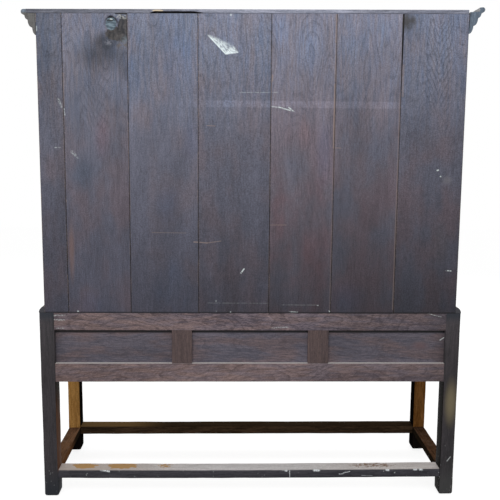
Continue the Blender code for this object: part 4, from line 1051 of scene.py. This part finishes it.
WAIST_SWELL, WAIST_DROP = 0.003, 0.0036  # prouder and lower than planned
low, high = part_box("waist_moulding")
reach = high.x - CASE_X - FIT + WAIST_SWELL
rise = high.z - WAIST_DROP - low.z
turns = [math.pi / 2 * step / 14 for step in range(15)]
profile = [(0.0, low.z)] + [(reach * math.cos(t), low.z + rise * math.sin(t)) for t in turns]
finish, place, facing = started("waist_oak")
colour, relief = oak(place, X, shade(52, 40, 32), shade(92, 70, 52), figure=0.3)
colour = blended(rising(coordinate(facing, Y), 0.6, 0.9), colour, shade(52, 52, 58))
dressed(finish, colour, relief * -0.1 + 0.5, relief, depth=0.0005, gloss=0.4)
surround("waist_moulding_run", profile, finish, "waist_moulding")


# Face of the cupboard: outer stiles, a deep frieze rail and two inner stiles, pegged at their tenons. Doors
# close against them on both sides of a fixed bay.
finish_solids(waxed_upright, "outer_stile_left", "outer_stile_right", "inner_stile_left", "inner_stile_right")
finish_solids(waxed_across, "frieze_rail")
PEG_HEAD = ((-0.002, 0.0036), (0.0004, 0.0036), (0.0008, 0.0028))  # how far out, and radius
PEG_EDGE = 0.009  # from the joint to the peg
OUTER_PEGS_UP, INNER_PEGS_ASIDE, INNER_PEGS_UP = (0.036, 0.06), (0.02, 0.04), 0.026
peg_oak = waxed_oak("peg_oak", Y, shade(44, 28, 18), shade(84, 58, 36))


def pegs(name, body, places):
    """Heads of the oak pegs that lock the tenons, cut almost flush."""
    form = bmesh.new()
    turns = [step * math.tau / 10 for step in range(10)]
    for x, z in places:
        loft(form, [[(x + radius * math.cos(t), case_front - out, z + radius * math.sin(t)) for t in turns]
                    for out, radius in PEG_HEAD])
    settle(skin(name, form, peg_oak), body, "polished_oak")


frieze_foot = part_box("frieze_rail")[0].z
outer_x, inner_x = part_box("outer_stile_right")[0].x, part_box("inner_stile_right")[0].x
places = [(sign * (outer_x + PEG_EDGE), frieze_foot + up) for sign in (-1, 1) for up in OUTER_PEGS_UP]
places += [(sign * (inner_x + aside), frieze_foot + INNER_PEGS_UP)
           for sign in (-1, 1) for aside in INNER_PEGS_ASIDE]
pegs("face_pegs", "carcass", places)


# Spindle galleries: two rails with turned oak spindles between them, one gallery in the fixed bay and one at
# the head of each door. They let air into the cupboard.


def turned(form, profile, axis, centre, facets=28, finish=0):
    """A turned solid. The profile gives places along the axis with their radii, and starts and ends on it."""
    first, second = (other for other in (X, Y, Z) if other != axis)
    rings = []
    for along, radius in profile:
        ring = []
        for step in range(facets):
            point = Vector(centre)
            point[axis] = along
            point[first] += max(radius, 1e-5) * math.cos(step * math.tau / facets)
            point[second] += max(radius, 1e-5) * math.sin(step * math.tau / facets)
            ring.append(point)
        rings.append(ring)
    loft(form, rings, finish=finish)


# Half a spindle, from its top to its middle: heights over the middle, and radii
SPINDLE = (
    (0.128, 0.008), (0.116, 0.008), (0.1145, 0.0095), (0.112, 0.0104), (0.110, 0.0105), (0.108, 0.0104),
    (0.1055, 0.0095), (0.104, 0.008), (0.1015, 0.0068), (0.098, 0.0062), (0.094, 0.0062), (0.078, 0.0069),
    (0.060, 0.0077), (0.057, 0.0087), (0.054, 0.0077), (0.045, 0.0087), (0.030, 0.0102), (0.015, 0.0112),
    (0.0, 0.0115))
SPINDLES = 6
GALLERY, TOP_RAIL = 0.240, 0.058
GALLERY_EASE, GALLERY_WAVER = 0.0015, 0.0002
bays = {  # each bay's body, the posts at its left and right, and the timber at its foot
    "centre": ("carcass", "inner_stile_left", "inner_stile_right", "bottom_board"),
    "door_left": ("door_left", "door_left_hinge_stile", "door_left_lock_stile", "door_left_bottom_rail"),
    "door_right": ("door_right", "door_right_lock_stile", "door_right_hinge_stile", "door_right_bottom_rail"),
}
spindle_oak = waxed_oak("spindle_oak", Z, shade(62, 38, 22), shade(118, 80, 48))
for bay, (body, left_post, right_post, _) in bays.items():
    node = f"{bay}_gallery"
    low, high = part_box(node)
    low.x, high.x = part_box(left_post)[1].x + FIT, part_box(right_post)[0].x - FIT
    gallery_head = high.z - TOP_RAIL
    gallery_foot = gallery_head - GALLERY
    form = bmesh.new()
    bar(form, Vector((low.x, low.y, gallery_head)), high, X, GALLERY_EASE, GALLERY_WAVER)
    bar(form, low, Vector((high.x, high.y, gallery_foot)), X, GALLERY_EASE, GALLERY_WAVER)
    middle_z = (gallery_head + gallery_foot) / 2
    profile = [(middle_z + up, radius) for up, radius in SPINDLE]
    profile += [(middle_z - up, radius) for up, radius in reversed(SPINDLE[:-1])]
    pitch = (high.x - low.x) / SPINDLES
    for number in range(SPINDLES):
        turned(form, profile, Z, (low.x + (number + 0.5) * pitch, (low.y + high.y) / 2, 0.0), finish=1)
    settle(skin(f"{node}_turned", form, waxed_across, spindle_oak), body, "polished_oak", node)


# Panels: fielded oak boards held in grooves, with a small mitred moulding planted round each one's border.
# The moulding is a planed quarter round, mitred and glued to the frame.
panel_oak = waxed_oak("panel_oak", Z, shade(62, 39, 23), shade(120, 82, 50), shift=11.0)
finish_solids(panel_oak, "centre_panel", "door_left_panel", "door_right_panel")
PANEL_SINK = 0.010  # from the case's front to the panel's border
BEDDING = 0.0001
MOULDING_PROUD, MOULDING_FLAT, MOULDING_ROUND, MOULDING_FALL = 0.0075, 0.0015, 0.0085, 0.0065
turns = [step * math.pi / 16 for step in range(9)]
section = [(0.0, 0.0), (0.0, MOULDING_PROUD)]
section += [(MOULDING_FLAT + MOULDING_ROUND * math.sin(t), MOULDING_PROUD - MOULDING_FALL * (1 - math.cos(t)))
            for t in turns]
section += [(MOULDING_FLAT + MOULDING_ROUND, 0.0)]
for bay, (body, left_post, right_post, foot) in bays.items():
    x0, x1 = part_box(left_post)[1].x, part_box(right_post)[0].x
    z0, z1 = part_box(foot)[1].z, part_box(f"{bay}_gallery")[0].z
    border = case_front + PANEL_SINK - BEDDING
    rings = []
    for x, inward_x, z, inward_z in ((x0, 1, z0, 1), (x1, -1, z0, 1), (x1, -1, z1, -1), (x0, 1, z1, -1)):
        rings.append([(x + inward_x * inset, border - out, z + inward_z * inset) for inset, out in section])
    form = bmesh.new()
    loft(form, rings, closed=True)
    settle(skin(f"{bay}_panel_moulding", form, waxed_across), body, "polished_oak")


# Door frames: stiles and rails of waxed oak, pegged at the corners. A wooden pintle at each end of the hinge
# stile turns in the frieze rail and in the bottom board.
BOTTOM_PEGS, MIDDLE_PEGS, TOP_PEGS = (0.026, 0.052), (0.017, 0.033), (0.04, 0.018)
for side, sign in (("left", -1), ("right", 1)):
    finish_solids(waxed_upright, f"door_{side}_hinge_stile", f"door_{side}_lock_stile")
    finish_solids(waxed_across, f"door_{side}_bottom_rail")
    gallery_low, gallery_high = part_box(f"door_{side}_gallery")
    rail_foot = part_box(f"door_{side}_bottom_rail")[0].z
    heights = [rail_foot + up for up in BOTTOM_PEGS] + [gallery_low.z + up for up in MIDDLE_PEGS]
    heights += [gallery_high.z - down for down in TOP_PEGS]
    lock_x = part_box(f"door_{side}_lock_stile")[1 if sign > 0 else 0].x
    hinge_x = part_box(f"door_{side}_hinge_stile")[0 if sign > 0 else 1].x
    places = [(x, z) for x in (lock_x - sign * PEG_EDGE, hinge_x + sign * PEG_EDGE) for z in heights]
    pegs(f"door_{side}_pegs", f"door_{side}", places)


# Latches: a turned knob in front, a shaft through the lock stile and a wooden tongue that turns behind the
# inner stile and holds the door shut. All of it is oak, waxed like the doors.
KNOB_REACH = 0.028
KNOB = (  # places behind the tip, and radii, with None at the neck
    (0.0, 0.0), (0.0003, 0.0035), (0.0011, 0.0072), (0.0024, 0.0104), (0.0042, 0.0128), (0.0066, 0.0149),
    (0.0092, 0.0160), (0.0120, 0.0155), (0.0146, 0.0136), (0.0170, 0.0105), (0.0190, None), (0.0238, None),
    (0.0246, 0.0090), (0.0258, 0.0112), (0.0277, 0.0112))


def knob(form, face, neck, centre, stem, finish=0):
    """A turned knob whose domed tip stands in front of a face and whose stem ends behind it."""
    tip = face - KNOB_REACH
    profile = [(tip + along, neck if radius is None else radius) for along, radius in KNOB]
    profile += [(face - FIT, neck), (stem, neck), (stem, 0.0)]
    turned(form, profile, Y, centre, finish=finish)


SHAFT, SHAFT_END = 0.005, 0.004
TONGUE_HALF, TONGUE_THICK, TONGUE_HEAD, TONGUE_EASE, TONGUE_ROUND = 0.007, 0.010, 0.010, 0.0012, 0.003
for side in ("left", "right"):
    node = f"door_{side}_latch"
    low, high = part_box(node)
    pivot = Vector(next(joint["pos_m"] for joint in frame["joints"] if joint["name"] == f"latch_{side}_turn"))
    form = bmesh.new()
    knob(form, case_front, SHAFT, pivot, high.y - SHAFT_END)
    tongue_low = Vector((pivot.x - TONGUE_HALF, high.y - TONGUE_THICK, low.z))
    tongue_high = Vector((pivot.x + TONGUE_HALF, high.y, pivot.z + TONGUE_HEAD))
    bar(form, tongue_low, tongue_high, Z, TONGUE_EASE, rounded=(TONGUE_ROUND, TONGUE_ROUND))
    latch_oak = waxed_oak(f"{node}_oak", Y, shade(64, 40, 24), shade(116, 78, 46))
    settle(skin(f"{node}_turned", form, latch_oak), f"latch_{side}", "polished_oak", node)


# Drawers: a fielded oak front with two turned knobs, lapped to the sides of an open box that slides on the
# runners. The box is bare oak.
FRONT_THICK, FIELD_RISE = 0.022, 0.004
KNOB_ASIDE, KNOB_NECK, KNOB_STEM = 0.110, 0.008, 0.002
knob_oak = waxed_oak("knob_oak", Y, shade(56, 34, 20), shade(108, 72, 44))
drawer_oak = waxed_oak("drawer_front_oak", X, shade(60, 38, 23), shade(118, 80, 48), shift=5.0)
finish, place, _ = started("drawer_box_oak")
colour, relief = oak(place, Y, shade(122, 90, 56), shade(164, 126, 84), figure=0.3, lines=30.0)
drawer_box_oak = dressed(finish, colour, relief * -0.1 + 0.72, relief)
for name in ("left", "centre", "right"):
    node = f"drawer_{name}_front"
    finish_solids(drawer_box_oak, f"drawer_{name}_box")
    low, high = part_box(node)
    face = high.y - FRONT_THICK
    border = face + FIELD_RISE
    # Insets from the front's edge and places in depth: a rounded arris, a flat border and a sloping field
    edges = ((0.0, high.y), (0.0, border + 0.0015), (0.0005, border + 0.0004), (0.0015, border),
             (0.0117, border), (0.0124, border - 0.0006), (0.0174, face + 0.0004), (0.0182, face))
    rings = []
    for inset, y in edges:
        left, right, foot, head = low.x + inset, high.x - inset, low.z + inset, high.z - inset
        rings.append([(left, y, foot), (right, y, foot), (right, y, head), (left, y, head)])
    form = bmesh.new()
    loft(form, rings)
    middle = (low + high) / 2
    for sign in (-1, 1):
        knob(form, face, KNOB_NECK, (middle.x + sign * KNOB_ASIDE, 0.0, middle.z), face + KNOB_STEM, finish=1)
    settle(skin(f"{node}_fielded", form, drawer_oak, knob_oak), f"drawer_{name}", "polished_oak", node)


# Camera: the height, distance and lens that the back's straight edges give.
PITCH, YAW, ROLL = math.radians(8.135), math.radians(1.526), math.radians(0.447)
CAMERA_ASIDE, CAMERA_AWAY, CAMERA_HEIGHT = 0.0826, 2.819, 1.380
FOCAL_PIXELS, PHOTO_PIXELS, SENSOR = 758.0, 500, 36.0
ahead = Vector((-math.sin(YAW) * math.cos(PITCH), -math.cos(YAW) * math.cos(PITCH), -math.sin(PITCH)))
level = Vector((-math.cos(YAW), math.sin(YAW), 0.0))
upright = level.cross(ahead)
right_hand = level * math.cos(ROLL) + upright * math.sin(ROLL)
overhead = upright * math.cos(ROLL) - level * math.sin(ROLL)
camera = bpy.data.objects.new("camera", bpy.data.cameras.new("camera"))
camera.data.sensor_width = SENSOR
camera.data.lens = FOCAL_PIXELS / PHOTO_PIXELS * SENSOR
axes = Matrix((right_hand, overhead, -ahead)).transposed().to_4x4()
camera.matrix_world = Matrix.Translation((CAMERA_ASIDE, back_plane + CAMERA_AWAY, CAMERA_HEIGHT)) @ axes
bpy.context.scene.collection.objects.link(camera)
bpy.context.scene.camera = camera


# Floor and light: a pale studio floor that keeps the shadow, a white surround, and two large soft lamps.
WHITE, PALE_GREY, MID_GREY = ((level, level, level, 1.0) for level in (1.0, 0.45, 0.30))
FLOOR_GLOW, SURROUND_LIGHT = 0.84, 0.5
FLOOR_HALF, FLOOR_DROP = 9.0, 0.0005
LAMP_WIDE, LAMP_POWER, LAMP_AIM = 2.6, 85.0, Vector((0.0, 0.0, 1.1))


def seen_by_eye(strand):
    """1 for what the camera sees, also in a gloss, and 0 for the light that falls on things."""
    straight, mirrored, through = (strand.node("LightPath", out=f"Is {ray} Ray")
                                   for ray in ("Camera", "Glossy", "Transmission"))
    return most(most(straight, mirrored), through)


finish = bpy.data.materials.new("studio_floor")
finish.use_nodes = True
tree = finish.node_tree
tree.nodes.remove(tree.nodes["Principled BSDF"])
strand = Strand(tree)
lit = strand.node("BsdfDiffuse", {}, {"Color": MID_GREY})
glow = strand.node("Emission", {}, {"Color": WHITE, "Strength": FLOOR_GLOW})
shown = strand.node("AddShader", {}, {0: lit, 1: glow})
bounce = strand.node("BsdfDiffuse", {}, {"Color": PALE_GREY})
surface = strand.node("MixShader", {}, {0: seen_by_eye(strand), 1: bounce, 2: shown})
tree.links.new(surface.socket, tree.nodes["Material Output"].inputs["Surface"])
form = bmesh.new()
bmesh.ops.create_grid(form, x_segments=2, y_segments=2, size=FLOOR_HALF)
floor = skin("studio_floor", form, finish)
floor.location.z = -FLOOR_DROP

world = bpy.data.worlds.new("studio_surround")
bpy.context.scene.world = world
world.use_nodes = True
strength = seen_by_eye(Strand(world.node_tree)) * (1.0 - SURROUND_LIGHT) + SURROUND_LIGHT
background = world.node_tree.nodes["Background"]
background.inputs["Color"].default_value = WHITE
world.node_tree.links.new(strength.socket, background.inputs["Strength"])

for name, spot in (("lamp_back", (0.7, 3.3, 3.3)), ("lamp_front", (-0.9, -3.4, 3.1))):
    lamp = bpy.data.objects.new(name, bpy.data.lights.new(name, "AREA"))
    lamp.data.shape, lamp.data.size, lamp.data.energy = "DISK", LAMP_WIDE, LAMP_POWER
    lamp.location = spot
    lamp.rotation_euler = (LAMP_AIM - lamp.location).to_track_quat("-Z", "Y").to_euler()
    bpy.context.scene.collection.objects.link(lamp)

bpy.context.scene.view_settings.view_transform = "Standard"
